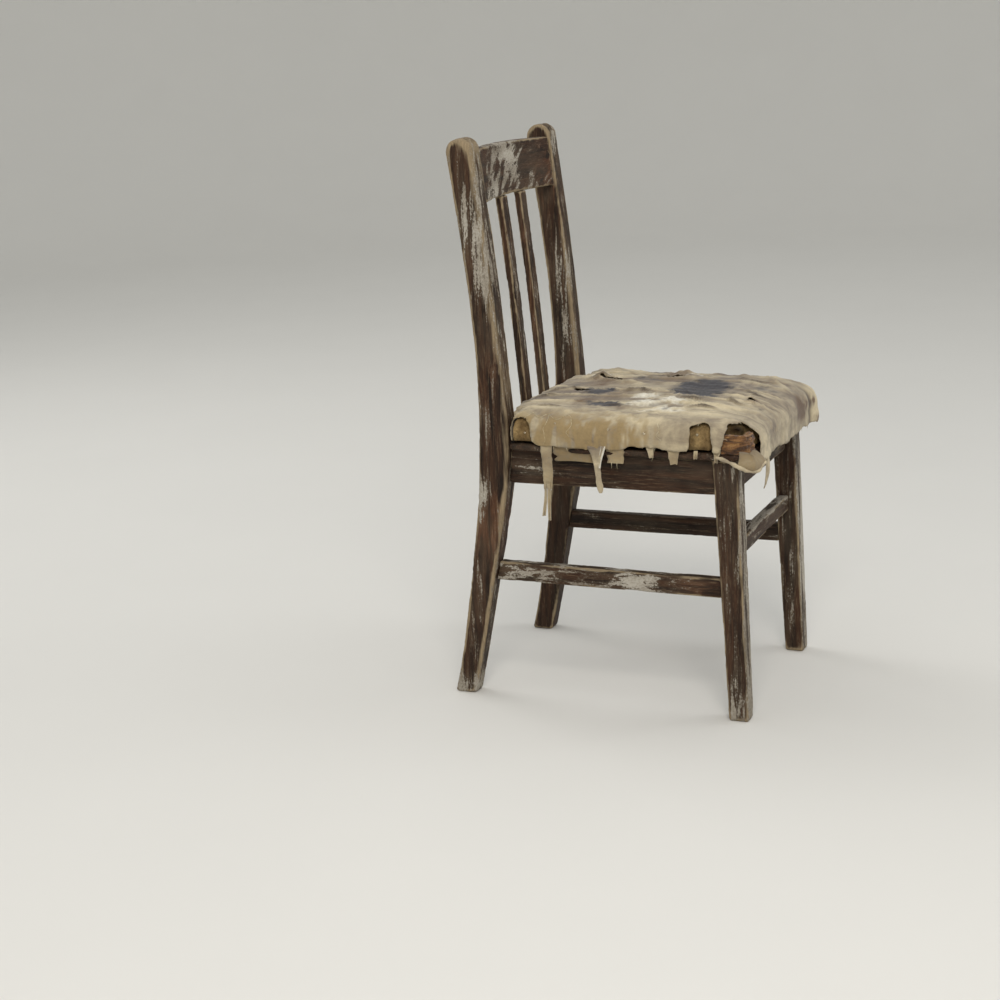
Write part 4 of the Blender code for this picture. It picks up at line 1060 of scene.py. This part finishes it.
def strips():
    """Torn strips that hang from the hem: upper corners, whiteness, khaki, then rows of shift, drop, width and
    reach out.
    """
    near = NEAR_X - 0.0022
    front = FRONT_Y - 0.0045
    return [
        (((near, 0.0915, 0.418), (near, 0.0715, 0.418)), 0.10, 0.45,
         [(0.000, 0.020, 0.84, -0.001), (0.001, 0.045, 0.74, -0.003), (0.001, 0.062, 0.62, -0.004),
          (0.001, 0.074, 0.54, -0.004)]),
        (((near, 0.0868, 0.350), (near, 0.0832, 0.350)), 0.10, 0.35,
         [(-0.001, 0.012, 0.9, -0.0045), (-0.002, 0.030, 0.75, -0.005), (-0.0035, 0.049, 0.5, -0.004)]),
        (((near, 0.0828, 0.352), (near, 0.0770, 0.352)), 0.15, 0.35,
         [(0.000, 0.012, 0.8, -0.0045), (0.000, 0.030, 0.6, -0.005), (0.0008, 0.057, 0.38, -0.003)]),
        (((near, 0.0700, 0.417), (near, 0.0080, 0.417)), 0.05, 0.75,
         [(0.0, 0.010, 1.0, -0.003), (0.001, 0.020, 0.97, -0.006), (0.002, 0.030, 0.93, -0.009)]),
        (((near, 0.0150, 0.420), (near, -0.0140, 0.420)), 0.22, 0.20,
         [(-0.001, 0.008, 0.88, 0.002), (0.000, 0.018, 0.60, 0.002), (0.001, 0.030, 0.40, 0.002),
          (0.002, 0.044, 0.32, 0.001), (0.003, 0.056, 0.30, 0.001), (0.004, 0.064, 0.36, 0.001),
          (0.005, 0.071, 0.32, 0.001), (0.005, 0.077, 0.14, 0.000)]),
        # This short strip lies in front of the right side of the one before; its whiteness is a painted highlight
        (((near, -0.0075, 0.420), (near, -0.0150, 0.420)), 0.72, 0.0,
         [(-0.002, 0.012, 0.90, 0.0035), (-0.005, 0.026, 0.62, 0.0035), (-0.006, 0.038, 0.30, 0.003)]),
        (((near, -0.0125, 0.417), (near, -0.0410, 0.417)), 0.05, 0.60,
         [(0.001, 0.010, 0.98, -0.002), (0.001, 0.020, 0.95, -0.004), (0.001, 0.028, 0.88, -0.005)]),
        (((near, -0.0735, 0.422), (near, -0.0910, 0.422)), 0.20, 0.30,
         [(0.001, 0.007, 0.65, 0.0), (0.002, 0.014, 0.42, 0.0), (0.0025, 0.021, 0.25, -0.001)]),
        (((near, -0.1080, 0.419), (near, -0.1300, 0.419)), 0.15, 0.45,
         [(0.000, 0.009, 0.76, 0.0), (0.0005, 0.017, 0.52, 0.0), (0.001, 0.026, 0.36, -0.001)]),
        (((near, -0.1500, 0.415), (near, -0.1560, 0.415)), 0.20, 0.40,
         [(0.000, 0.006, 0.7, 0.0), (0.000, 0.012, 0.4, -0.001)]),
        (((near, -0.1800, 0.424), (near, -0.1915, 0.424)), 0.25, 0.30,
         [(0.000, 0.010, 0.7, 0.0), (-0.001, 0.018, 0.5, 0.001), (-0.001, 0.025, 0.3, 0.001)]),
        (((-0.1290, front, 0.404), (-0.1000, front, 0.402)), 0.20, 0.30,
         [(0.000, 0.010, 0.75, 0.001), (0.001, 0.022, 0.52, 0.002), (-0.002, 0.034, 0.36, 0.002),
          (-0.006, 0.044, 0.30, 0.001), (-0.012, 0.050, 0.26, 0.001), (-0.017, 0.054, 0.14, 0.0)]),
    ]


# Line of the sagging hem, from the corner of the seat at the height of the seat frame's top
HEM_LINE = [(-0.0068, 0.0500, 0.0080), (-0.0076, 0.0420, 0.0065), (-0.0080, 0.0310, 0.0025),
            (-0.0088, 0.0170, -0.0030), (-0.0085, 0.0040, -0.0085), (-0.0045, -0.0070, -0.0115),
            (0.0045, -0.0120, -0.0105), (0.0160, -0.0135, -0.0065), (0.0280, -0.0150, -0.0025)]
# Shares of the way up from the hem to the stuffing at which the lining has points
LINING_PARTS = (0.0, 0.2, 0.4, 0.6, 0.8, 1.0)


def hem_lining(spacing):
    """Strip of dirty cloth between the sagging hem and the bottom of the stuffing."""
    frame_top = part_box("front_leg_right")[1][2]
    line = curve_through([(NEAR_X + x, FRONT_Y + y, frame_top + z) for x, y, z in HEM_LINE[3:]], spacing)
    points = []
    for n, (x, y, z) in enumerate(line):
        in_x = max(x, NEAR_X + 0.0012) + 0.002 * (x < NEAR_X)
        in_y = max(y, FRONT_Y + 0.0012)
        top = PAD_BOTTOM + 0.0045 + 0.0005 * math.sin(0.9 * n)
        for part in LINING_PARTS:
            bulge = 0.0022 * math.sin(math.pi * part)
            points.append((x + (in_x - x) * part ** 1.5 - bulge, y + (in_y - y) * part ** 1.5 - bulge,
                           z + (top - z) * part))
    return points, strip_faces(len(line), len(LINING_PARTS) - 1, flip=True)


def folds(points, scale, seed, sharp):
    """Sharp-backed folds from 0 to 1."""
    return np.clip(1.0 - 2.3 * np.abs(field(points, scale, seed)), 0.0, 1.0) ** sharp


def cover_wrinkles(places, ways, tall, height):
    """Places of the cover's grid after folds, gathers, lips and crumples are raised on it."""
    shape = places.shape
    flat = places.reshape(-1, 3)
    level = np.repeat(np.arange(shape[0]), shape[1])
    on_top = np.clip((level - tall + 6) / 8.0, 0.0, 1.0)
    bent = flat + 0.024 * np.column_stack([field(flat, 11.0, 51.0), field(flat, 11.0, 57.0), np.zeros(len(flat))])
    crumple = rough_field(flat, 105.0, 29.0, 4)
    crinkle = folds(bent, (75.0, 50.0, 30.0), 23.0, 1)
    white = blobs(flat, 0.0, WHITE_SPOTS)
    top = (0.85 * folds(bent, (20.0, 6.0, 4.0), 3.0, 5) + 0.42 * folds(bent, (34.0, 12.0, 4.0), 13.0, 5)
           + 0.20 * folds(bent, (14.0, 30.0, 4.0), 17.0, 5) + 0.45 * (0.5 + 0.5 * field(flat, 12.0, 71.0))
           + (0.04 + 0.22 * white) * crumple + white * crinkle)
    around = np.column_stack([flat[:, 0], flat[:, 1], 0.25 * flat[:, 2]])
    hang = np.clip((0.452 - flat[:, 2]) / 0.05, 0.0, 1.0)
    front = np.clip((FRONT_Y + 0.03 - flat[:, 1]) / 0.02, 0.0, 1.0)
    skirt = ((0.30 - 0.22 * front) * folds(around, 48.0, 33.0, 2)
             + 0.70 * (0.5 + 0.6 * field(flat, (14.0, 20.0, 14.0), 41.0))
             + 0.03 * crumple + (0.70 * front + 0.10) * hang * folds(around, 13.0, 43.0, 1))
    rise = np.clip(on_top * top + (1.0 - on_top) * skirt, 0.0, 1.7)
    nearest, lip = rip_distance(flat)
    slit, slit_lip = slit_shape(flat)
    move = 0.0009 + height * rise + lip + slit_lip
    wobble = 1.0 + 0.5 * field(flat, 130.0, 91.0)
    for (x, y), radius, high in CRUMPLES:
        away = np.hypot(flat[:, 0] - x, flat[:, 1] - y) / radius
        move += np.where(flat[:, 2] > TOP_LEVEL, high * wobble * np.exp(-away ** 2), 0.0)
    top_layer = 1.0 - under_lip(flat)
    edge = np.exp(-((top_layer - 0.75) / 0.35) ** 2)
    move += np.where(flat[:, 1] > -0.085, LIP_RISE * top_layer + 0.0016 * edge * (top_layer > 0.01), LIP_RISE)
    # The cloth flares out at the far front corner
    flare = np.clip((flat[:, 0] - 0.155) / 0.025, 0.0, 1.0) * np.clip((-0.19 - flat[:, 1]) / 0.03, 0.0, 1.0)
    move += 0.0085 * flare * hang * (1.0 - on_top)
    turn = np.exp(-((flat[:, 0] - 0.150) / 0.009) ** 2) * front * np.clip((0.455 - flat[:, 2]) / 0.02, 0.0, 1.0)
    move -= 0.0025 * turn
    back = (flat[:, 1] > BACK_Y - 0.012) & (on_top < 0.6)
    move = np.where(back, 0.0008, move)
    # Painted shade: darker cloth in the valleys between the wrinkles, between the crinkles of the bleached patch,
    # along the drawn slits and in the turned fold at the far front corner
    crease = np.clip((0.26 - rise) / 0.26, 0.0, 1.0) * 0.55 * on_top
    crease = np.maximum(crease, 0.9 * white * np.clip(1.0 - 3.2 * crinkle, 0.0, 1.0) * on_top)
    crease = np.maximum(np.maximum(crease, slit), 0.8 * turn)
    # Lighter cloth on the wrinkle tops and on the lips by the holes and slits: partly wear, partly painted highlight
    ridge = np.clip((rise - 0.35) / 0.7 + 180.0 * (slit_lip + lip), 0.0, 1.0)
    moved = (flat + ways.reshape(-1, 3) * move[:, None]).reshape(shape)
    return moved, crease, ridge, nearest


class CHAIR_OT_seat_cover(bpy.types.Operator):
    """Torn and stained cover with its rips and hanging strips"""
    bl_idname = "chair.seat_cover"
    bl_label = "Seat cover"

    def execute(self, context):
        look = context.scene.torn_seat
        places, ways, cloth, tall, skips = skin_grid(look.spacing)
        moved, crease, ridge, nearest = cover_wrinkles(places, ways, tall, look.wrinkle)
        height, count = moved.shape[:2]
        flat = moved.reshape(-1, 3)
        rest = places.reshape(-1, 3)
        points = [tuple(p) for p in flat]
        faces = []
        for corners in grid_faces(count, skips):
            keep = self.kept(rest[corners].mean(axis=1), nearest[corners].mean(axis=1))
            faces += [tuple(int(v) for v in face) for face in corners[keep]]
        points.append(tuple(flat[(height - 1) * count:].mean(axis=0)))
        last = (height - 1) * count
        faces += [(last + i, last + (i + skips[-1]) % count, len(points) - 1) for i in range(0, count, skips[-1])]
        flat_uv = [tuple(p) for p in cloth.reshape(-1, 2)] + [MIDDLE]
        strips_from = len(points)
        strip_white = []
        strip_khaki = []
        shade = []
        extra = [(*hanging_strip(top, rows, look.spacing, 1.0 + n), white, soaked)
                 for n, (top, white, soaked, rows) in enumerate(strips())]
        extra.append((*hem_lining(look.spacing), 0.25, 0.66))
        for strip_points, strip_faces, white, soaked in extra:
            start = len(points)
            points += strip_points
            faces += [tuple(start + v for v in f) for f in strip_faces]
            flat_uv += [(p[0] + p[1], p[2]) for p in strip_points]
            strip_white += [white] * len(strip_points)
            strip_khaki += [soaked] * len(strip_points)
            # The pieces that lie behind the others get painted shade in the crease zone
            shade += [0.30 if soaked > 0.65 else 0.0] * len(strip_points)
        mesh = bpy.data.meshes.new("torn_cover")
        mesh.from_pydata(points, [], faces)
        put_uv(mesh, flat_uv)
        spare = len(points) - len(crease)
        # Painted shade: the cover's creases and slits, and the pieces that lie behind the others
        put_attribute(mesh, "crease", np.concatenate([crease, np.zeros(spare - len(shade)), shade]))
        put_attribute(mesh, "ridge", np.concatenate([ridge, np.full(spare, 0.4)]))
        cover_zones(mesh, points_of(mesh), strips_from, strip_white, strip_khaki)
        work = bmesh.new()
        work.from_mesh(mesh)
        work.verts.index_update()
        trimmed(work, strips_from, 4)
        bmesh.ops.delete(work, geom=[v for v in work.verts if not v.link_faces], context="VERTS")
        work.to_mesh(mesh)
        work.free()
        smooth(mesh)
        cover = linked("torn_cover", mesh)
        wall = cover.modifiers.new("thickness", "SOLIDIFY")
        wall.thickness = look.cloth_thickness
        wall.offset = 1.0
        finished(cover, torn_linen("torn_linen_cover"), ["seat_cover"])
        return {"FINISHED"}

    def kept(self, centre, near_hole):
        """Which faces of the cover are still there."""
        x, y, z = centre.T
        ragged = rough_field(centre, 140.0, 61.0, 4)
        wide = rough_field(centre, 35.0, 67.0, 3)
        near_side = x < NEAR_X + 0.012
        front_side = (y < FRONT_Y + 0.012) & ~near_side
        far_side = x > FAR_X - 0.012
        hem = np.full(len(centre), PAD_BOTTOM - 0.004)
        hem = np.where(near_side, np.interp(y, *zip(*NEAR_HEM)), hem)
        hem = np.where(front_side, np.interp(x, *zip(*FRONT_HEM)), hem)
        hem = np.where(y > BACK_Y - 0.004, PAD_BOTTOM + 0.001, hem)
        hem = hem + 0.0018 * ragged + np.where(front_side | far_side, 0.004 * wide, 0.0)
        gone = z < hem
        a = y + 0.0022 * ragged
        b = z + 0.0022 * rough_field(centre, 110.0, 71.0, 4)
        for shape in SIDE_RIPS:
            gone |= near_side & inside(shape, a, b)
        corner = (y + 0.0018 * ragged < np.interp(z, *zip(*CORNER_RIP))) & (x + 0.002 * ragged < CORNER_RIP_X)
        gone |= corner & (b < CORNER_RIP_TOP)
        gone |= near_hole + 0.35 * ragged < 1.0
        return ~gone


# ---------------------------------------------------------------- rolled hem

HEM_VOXEL = 0.0009
HEM_ZONES = {"khaki": 0.20, "damp": 0.0, "rust": 0.1, "white": 0.20, "crease": 0.0, "ridge": 0.5, "clean": 0.6}


class CHAIR_OT_rolled_hem(bpy.types.Operator):
    """Edge of the cover rolled into a sagging cord at the broken corner"""
    bl_idname = "chair.rolled_hem"
    bl_label = "Rolled hem"

    def execute(self, context):
        mesh = remeshed(merged_copy("rolled_hem"), HEM_VOXEL)
        points = points_of(mesh)
        loose = rough_field(points, 90.0, 5.0, 3)
        set_points(mesh, points + normals_of(mesh) * (0.0011 * loose - 0.0004)[:, None])
        for key, value in HEM_ZONES.items():
            put_attribute(mesh, key, np.full(len(points), value))
        put_uv(mesh, np.column_stack([points[:, 1] - points[:, 0], points[:, 2]]))
        smooth(mesh)
        hem = linked("sagging_hem", mesh)
        finished(hem, torn_linen("rolled_linen_hem"), ["rolled_hem"])
        return {"FINISHED"}


# ---------------------------------------------------------------- tacks and threads

def group_tree(name, sizes):
    """Empty geometry tree with a geometry input and output and named length inputs."""
    tree = bpy.data.node_groups.new(name, "GeometryNodeTree")
    tree.interface.new_socket("Geometry", in_out="INPUT", socket_type="NodeSocketGeometry")
    for label, default in sizes:
        socket = tree.interface.new_socket(label, in_out="INPUT", socket_type="NodeSocketFloat")
        socket.default_value = default
    tree.interface.new_socket("Geometry", in_out="OUTPUT", socket_type="NodeSocketGeometry")
    return tree


def grown(name, mesh, tree, values):
    """Run a geometry tree over a mesh with its named inputs set, and keep the plain result."""
    work = linked(name + "_work", mesh)
    modifier = work.modifiers.new("nodes", "NODES")
    modifier.node_group = tree
    for item in tree.interface.items_tree:
        if item.item_type == "SOCKET" and item.in_out == "INPUT" and item.name in values:
            modifier[item.identifier] = values[item.name]
    made = evaluated_mesh(work)
    bpy.data.objects.remove(work, do_unlink=True)
    return linked(name, made)


def dull_brass():
    """Brass-plated steel tack heads, pressed and dulled by damp: worn bright on top, brown at the rim."""
    made, tree, shader = new_material("dull_brass_tacks")
    where = add(tree, "ShaderNodeTexCoord").outputs["Object"]
    spots = add(tree, "ShaderNodeTexNoise", {
        "Vector": where, "Scale": 700.0, "Detail": 4.0, "Roughness": 0.6}).outputs["Fac"]
    tarnish = add(tree, "ShaderNodeMapRange", {"Value": spots, "From Min": 0.42, "From Max": 0.62}).outputs["Result"]
    tone = add(tree, "ShaderNodeMix", {
        0: tarnish, 6: linear("d9cdb4"), 7: linear("6b5638")}, data_type="RGBA").outputs[2]
    tree.links.new(tone, shader.inputs["Base Color"])
    rough = add(tree, "ShaderNodeMapRange", {"Value": tarnish, "To Min": 0.28, "To Max": 0.65}).outputs["Result"]
    tree.links.new(rough, shader.inputs["Roughness"])
    shader.inputs["Metallic"].default_value = 0.8
    bump = add(tree, "ShaderNodeBump", {"Height": spots, "Strength": 0.4, "Distance": 0.0003})
    tree.links.new(bump.outputs["Normal"], shader.inputs["Normal"])
    return made


def tack_tree(material):
    """Domed heads on points, each a little different in size."""
    tree = group_tree("tack_heads", [("Head", 0.005)])
    inlet = add(tree, "NodeGroupInput")
    half = add(tree, "ShaderNodeMath", {0: inlet.outputs["Head"], 1: 0.5}, operation="MULTIPLY").outputs[0]
    ball = add(tree, "GeometryNodeMeshUVSphere", {"Segments": 14, "Rings": 8, "Radius": half})
    squash = add(tree, "GeometryNodeTransform", {"Geometry": ball.outputs["Mesh"], "Scale": (1.0, 1.0, 0.45)})
    size = add(tree, "FunctionNodeRandomValue", {2: 0.8, 3: 1.15, "Seed": 7}, data_type="FLOAT")
    way = add(tree, "GeometryNodeInputNamedAttribute", {"Name": "way"}, data_type="FLOAT_VECTOR")
    turn = add(tree, "FunctionNodeAlignRotationToVector", {"Vector": way.outputs["Attribute"]}, axis="Z")
    put = add(tree, "GeometryNodeInstanceOnPoints", {
        "Points": inlet.outputs["Geometry"], "Instance": squash.outputs["Geometry"],
        "Rotation": turn.outputs["Rotation"], "Scale": size.outputs[1]})
    real = add(tree, "GeometryNodeRealizeInstances", {"Geometry": put.outputs["Instances"]})
    painted = add(tree, "GeometryNodeSetMaterial", {"Geometry": real.outputs["Geometry"], "Material": material})
    add(tree, "NodeGroupOutput", {"Geometry": painted.outputs["Geometry"]})
    return tree


def thread_tree(material):
    """Round threads along the edges of a mesh, thinner towards their ends."""
    tree = group_tree("loose_threads", [("Diameter", 0.0007)])
    inlet = add(tree, "NodeGroupInput")
    half = add(tree, "ShaderNodeMath", {0: inlet.outputs["Diameter"], 1: 0.5}, operation="MULTIPLY").outputs[0]
    lines = add(tree, "GeometryNodeMeshToCurve", {"Mesh": inlet.outputs["Geometry"]})
    along = add(tree, "GeometryNodeSplineParameter")
    thin = add(tree, "ShaderNodeMapRange", {"Value": along.outputs["Factor"], "To Min": 1.0, "To Max": 0.35})
    radius = add(tree, "GeometryNodeSetCurveRadius", {
        "Curve": lines.outputs["Curve"], "Radius": thin.outputs["Result"]})
    circle = add(tree, "GeometryNodeCurvePrimitiveCircle", {"Resolution": 5, "Radius": half})
    tube = add(tree, "GeometryNodeCurveToMesh", {
        "Curve": radius.outputs["Curve"], "Profile Curve": circle.outputs["Curve"],
        "Scale": thin.outputs["Result"], "Fill Caps": True})
    real = add(tree, "GeometryNodeRealizeInstances", {"Geometry": tube.outputs["Mesh"]})
    painted = add(tree, "GeometryNodeSetMaterial", {"Geometry": real.outputs["Geometry"], "Material": material})
    add(tree, "NodeGroupOutput", {"Geometry": painted.outputs["Geometry"]})
    return tree


# Tack heads on the near side: place along Y and height
TACKS = [(-0.153, 0.437), (-0.019, 0.441), (0.066, 0.446), (0.118, 0.428), (-0.075, 0.438)]
# Threads that cling to the near side, given as places along Y and Z
CLINGING = [
    [(0.083, 0.460), (0.080, 0.450), (0.084, 0.438), (0.082, 0.426), (0.084, 0.414)],
    [(0.120, 0.449), (0.108, 0.457), (0.094, 0.452), (0.083, 0.456), (0.066, 0.451), (0.050, 0.456), (0.040, 0.450)],
    [(0.043, 0.452), (0.040, 0.444), (0.046, 0.434), (0.043, 0.428)],
    [(-0.094, 0.452), (-0.099, 0.444), (-0.095, 0.436), (-0.101, 0.428)],
]
# Of the free edges of the cloth, one in this many is looked at for a frayed end
RIM_STEP = 13
# Where rays towards the near side start, outside the chair
RAY_START = -0.3


def met_from_side(tree, y, z):
    """What a ray along X towards the near side meets first."""
    return tree.ray_cast(Vector((RAY_START, y, z)), Vector((1.0, 0.0, 0.0)))


class CHAIR_OT_tacks(bpy.types.Operator):
    """Upholstery tacks left in the cover"""
    bl_idname = "chair.tacks"
    bl_label = "Tacks"

    def execute(self, context):
        look = context.scene.torn_seat
        trees = [BVHTree.FromObject(bpy.data.objects[name], context.evaluated_depsgraph_get())
                 for name in ("torn_cover", "foam_pad")]
        places = []
        ways = []
        for y, z in TACKS:
            hits = [hit for hit in (met_from_side(tree, y, z) for tree in trees) if hit[0] is not None]
            place, way = min(hits, key=lambda hit: hit[3])[:2]
            places.append(place + way * 0.0004)
            ways.append(way)
        mesh = bpy.data.meshes.new("tack_points")
        mesh.from_pydata([tuple(p) for p in places], [], [])
        layer = mesh.attributes.new("way", "FLOAT_VECTOR", "POINT")
        layer.data.foreach_set("vector", [c for w in ways for c in w])
        brass = dull_brass()
        tacks = grown("upholstery_tacks", mesh, tack_tree(brass), {"Head": look.tack_head})
        smooth(tacks.data)
        finished(tacks, brass)
        return {"FINISHED"}


def linen_thread():
    """Loose linen threads: cream, matt and hairy."""
    made, tree, shader = new_material("loose_linen_threads")
    where = add(tree, "ShaderNodeTexCoord").outputs["Object"]
    tones = add(tree, "ShaderNodeTexNoise", {
        "Vector": where, "Scale": 140.0, "Detail": 4.0, "Roughness": 0.7}).outputs["Fac"]
    mask = add(tree, "ShaderNodeMapRange", {"Value": tones, "From Min": 0.4, "From Max": 0.62}).outputs["Result"]
    tone = add(tree, "ShaderNodeMix", {
        0: mask, 6: linear("a59776"), 7: linear("ddd2b8")}, data_type="RGBA").outputs[2]
    tree.links.new(tone, shader.inputs["Base Color"])
    shader.inputs["Roughness"].default_value = 0.9
    bump = add(tree, "ShaderNodeBump", {"Height": tones, "Strength": 0.5, "Distance": 0.0003})
    tree.links.new(bump.outputs["Normal"], shader.inputs["Normal"])
    return made


class CHAIR_OT_loose_threads(bpy.types.Operator):
    """Threads pulled out of the torn cloth"""
    bl_idname = "chair.loose_threads"
    bl_label = "Loose threads"

    def execute(self, context):
        look = context.scene.torn_seat
        cover = bpy.data.objects["torn_cover"]
        surface = BVHTree.FromObject(cover, context.evaluated_depsgraph_get())
        points = []
        edges = []

        def run(line):
            start = len(points)
            points.extend(tuple(p) for p in line)
            edges.extend((start + i, start + i + 1) for i in range(len(line) - 1))

        for line in CLINGING:
            seen = []
            for y, z in curve_through(line, 0.003):
                wave = 0.0030 * noise.noise((y * 120.0, z * 120.0, 4.0))
                hit = met_from_side(surface, y + wave, z)
                if hit[0] is not None and hit[0].x < NEAR_X + 0.02:
                    seen.append(hit[0] + hit[1] * look.thread * 0.5)
            if len(seen) > 2:
                run(seen)
        # Frayed ends along the free edges of the cloth
        work = bmesh.new()
        work.from_mesh(cover.data)
        for edge in [e for e in work.edges if len(e.link_faces) == 1][::RIM_STEP]:
            middle = (edge.verts[0].co + edge.verts[1].co) / 2
            out = (middle - edge.link_faces[0].calc_center_median()).normalized()
            chance = noise.noise(middle * 90.0)
            if chance < 0.0 or middle.y > BACK_Y - 0.01 or (out.z > -0.4 and middle.z < 0.425):
                continue
            reach = 0.003 + 0.006 * abs(noise.noise(middle * 300.0))
            side = Vector((noise.noise(middle * 410.0), noise.noise(middle * 530.0), 0.0)) * 0.8
            line = [middle - out * 0.001]
            for step in (0.35, 0.7, 1.0):
                fall = Vector((0.0, 0.0, -1.0)) * reach * 0.5 * step * step
                line.append(middle + (out + side * step) * reach * step + fall)
            run(line)
        work.free()
        base = bpy.data.meshes.new("thread_lines")
        base.from_pydata(points, edges, [])
        linen = linen_thread()
        threads = grown("loose_threads", base, thread_tree(linen), {"Diameter": look.thread})
        smooth(threads.data)
        finished(threads, linen)
        return {"FINISHED"}


# ---------------------------------------------------------------- stage

CAMERA_PLACE = Vector((-2.8300, -0.9515, 1.0418))
CAMERA_TURN = math.radians(-67.1815)
CAMERA_LIFT = math.radians(14.0999)
CAMERA_ROLL = math.radians(-2.1759)
CAMERA_LENS = 69.33
SENSOR_WIDTH = 36.0
FLOOR_Z = -0.0005
# The floor is flat this far out, then curves up into a wall of this height
FLOOR_FLAT = 6.0
FLOOR_CURVE = 2.5
WALL_TOP = 6.0
FLOOR_SIDES = 96
# Lamps: place, size, power and colour; they face the middle of the chair
LAMPS = {
    "key": ((-2.9, -1.1, 2.9), 1.7, 72.0, (1.0, 0.96, 0.91)),
    "fill": ((1.4, -3.4, 2.2), 2.4, 26.0, (0.96, 0.98, 1.0)),
    "back": ((0.8, 2.8, 2.8), 2.2, 30.0, (1.0, 1.0, 1.0)),
}
LIT_POINT = Vector((0.0, 0.0, 0.42))
WORLD_STRENGTH = 0.95


def make_camera():
    """Camera at the photograph's place."""
    a, e, r = CAMERA_TURN, CAMERA_LIFT, CAMERA_ROLL
    back = Vector((math.sin(a) * math.cos(e), -math.cos(a) * math.cos(e), math.sin(e)))
    level = Vector((math.cos(a), math.sin(a), 0.0))
    upright = back.cross(level)
    right = level * math.cos(r) + upright * math.sin(r)
    up = upright * math.cos(r) - level * math.sin(r)
    data = bpy.data.cameras.new("camera")
    data.lens = CAMERA_LENS
    data.sensor_width = SENSOR_WIDTH
    data.clip_start = 0.05
    data.clip_end = 60.0
    obj = linked("camera", data)
    matrix = Matrix((right, up, back)).transposed().to_4x4()
    matrix.translation = CAMERA_PLACE
    obj.matrix_world = matrix
    bpy.context.scene.camera = obj


def soft_light(name, place, size, power, tint):
    """Large soft lamp that faces the chair."""
    data = bpy.data.lights.new(name, "AREA")
    data.shape = "DISK"
    data.size = size
    data.energy = power
    data.color = tint
    obj = linked(name, data)
    obj.location = place
    obj.rotation_mode = "QUATERNION"
    obj.rotation_quaternion = (LIT_POINT - Vector(place)).to_track_quat("-Z", "Y")


def studio_floor():
    """Matt painted studio floor."""
    made, tree, shader = new_material("matt_studio_floor")
    where = add(tree, "ShaderNodeTexCoord").outputs["Object"]
    cloud = add(tree, "ShaderNodeTexNoise", {"Vector": where, "Scale": 3.0, "Detail": 3.0}).outputs["Fac"]
    base = Vector(bpy.context.scene.chair_stage.floor)
    tone = add(tree, "ShaderNodeMix", {
        0: cloud, 6: tuple(base * 0.97), 7: tuple(base)}, data_type="RGBA").outputs[2]
    tree.links.new(tone, shader.inputs["Base Color"])
    shader.inputs["Roughness"].default_value = 0.9
    return made


def sweep_mesh():
    """Round floor whose rim curves up into a wall, so that no view shows an edge."""
    profile = [(2.0, 0.0), (4.0, 0.0), (FLOOR_FLAT, 0.0)]
    for degrees in range(10, 91, 10):
        angle = math.radians(degrees)
        profile.append((FLOOR_FLAT + FLOOR_CURVE * math.sin(angle), FLOOR_CURVE - FLOOR_CURVE * math.cos(angle)))
    profile.append((FLOOR_FLAT + FLOOR_CURVE, WALL_TOP))
    count = FLOOR_SIDES
    points = [(0.0, 0.0, FLOOR_Z)]
    for radius, height in profile:
        for i in range(count):
            angle = 2.0 * math.pi * i / count
            points.append((radius * math.cos(angle), radius * math.sin(angle), height + FLOOR_Z))
    faces = [(0, 1 + i, 1 + (i + 1) % count) for i in range(count)]
    for low in range(1, 1 + (len(profile) - 1) * count, count):
        for i in range(count):
            j = (i + 1) % count
            faces.append((low + i, low + count + i, low + count + j, low + j))
    mesh = bpy.data.meshes.new("studio_floor")
    mesh.from_pydata(points, [], faces)
    smooth(mesh)
    return mesh


class CHAIR_OT_stage(bpy.types.Operator):
    """Floor, soft light and camera"""
    bl_idname = "chair.stage"
    bl_label = "Stage"

    def execute(self, context):
        strength = context.scene.chair_stage.light
        mesh = sweep_mesh()
        floor = linked("studio_floor", mesh)
        mesh.materials.append(studio_floor())
        for name, (place, size, power, tint) in LAMPS.items():
            soft_light(name, place, size, power * strength, tint)
        world = bpy.data.worlds.new("studio")
        world.use_nodes = True
        sky = world.node_tree.nodes["Background"]
        sky.inputs["Color"].default_value = linear("d9dbdb")
        sky.inputs["Strength"].default_value = WORLD_STRENGTH * strength
        context.scene.world = world
        context.scene.view_settings.view_transform = "Standard"
        make_camera()
        return {"FINISHED"}


# ---------------------------------------------------------------- add-on

OPERATORS = (CHAIR_OT_stage, CHAIR_OT_wooden_frame, CHAIR_OT_seat_padding, CHAIR_OT_corner_stuffing,
             CHAIR_OT_rolled_hem, CHAIR_OT_seat_cover, CHAIR_OT_tacks, CHAIR_OT_loose_threads)


class CHAIR_PT_worn_chair(bpy.types.Panel):
    """Steps and settings of the worn chair"""
    bl_idname = "CHAIR_PT_worn_chair"
    bl_label = "Worn chair"
    bl_space_type = "VIEW_3D"
    bl_region_type = "UI"
    bl_category = "Chair"

    def draw(self, context):
        for kind in OPERATORS:
            self.layout.operator(kind.bl_idname)
        for group in (context.scene.worn_wood, context.scene.torn_seat, context.scene.chair_stage):
            box = self.layout.box()
            for key in group.bl_rna.properties.keys():
                if key not in ("rna_type", "name"):
                    box.prop(group, key)


CLASSES = (WornWoodSettings, TornSeatSettings, StageSettings, *OPERATORS, CHAIR_PT_worn_chair)


def register():
    """Register the classes and their settings."""
    for kind in CLASSES:
        bpy.utils.register_class(kind)
    bpy.types.Scene.worn_wood = bpy.props.PointerProperty(type=WornWoodSettings)
    bpy.types.Scene.torn_seat = bpy.props.PointerProperty(type=TornSeatSettings)
    bpy.types.Scene.chair_stage = bpy.props.PointerProperty(type=StageSettings)


def unregister():
    """Take the settings and classes away again."""
    del bpy.types.Scene.chair_stage
    del bpy.types.Scene.torn_seat
    del bpy.types.Scene.worn_wood
    for kind in reversed(CLASSES):
        bpy.utils.unregister_class(kind)


def main():
    """Build every piece."""
    register()
    for kind in OPERATORS:
        group, step = kind.bl_idname.split(".")
        getattr(getattr(bpy.ops, group), step)()


if __name__ == "__main__":
    main()
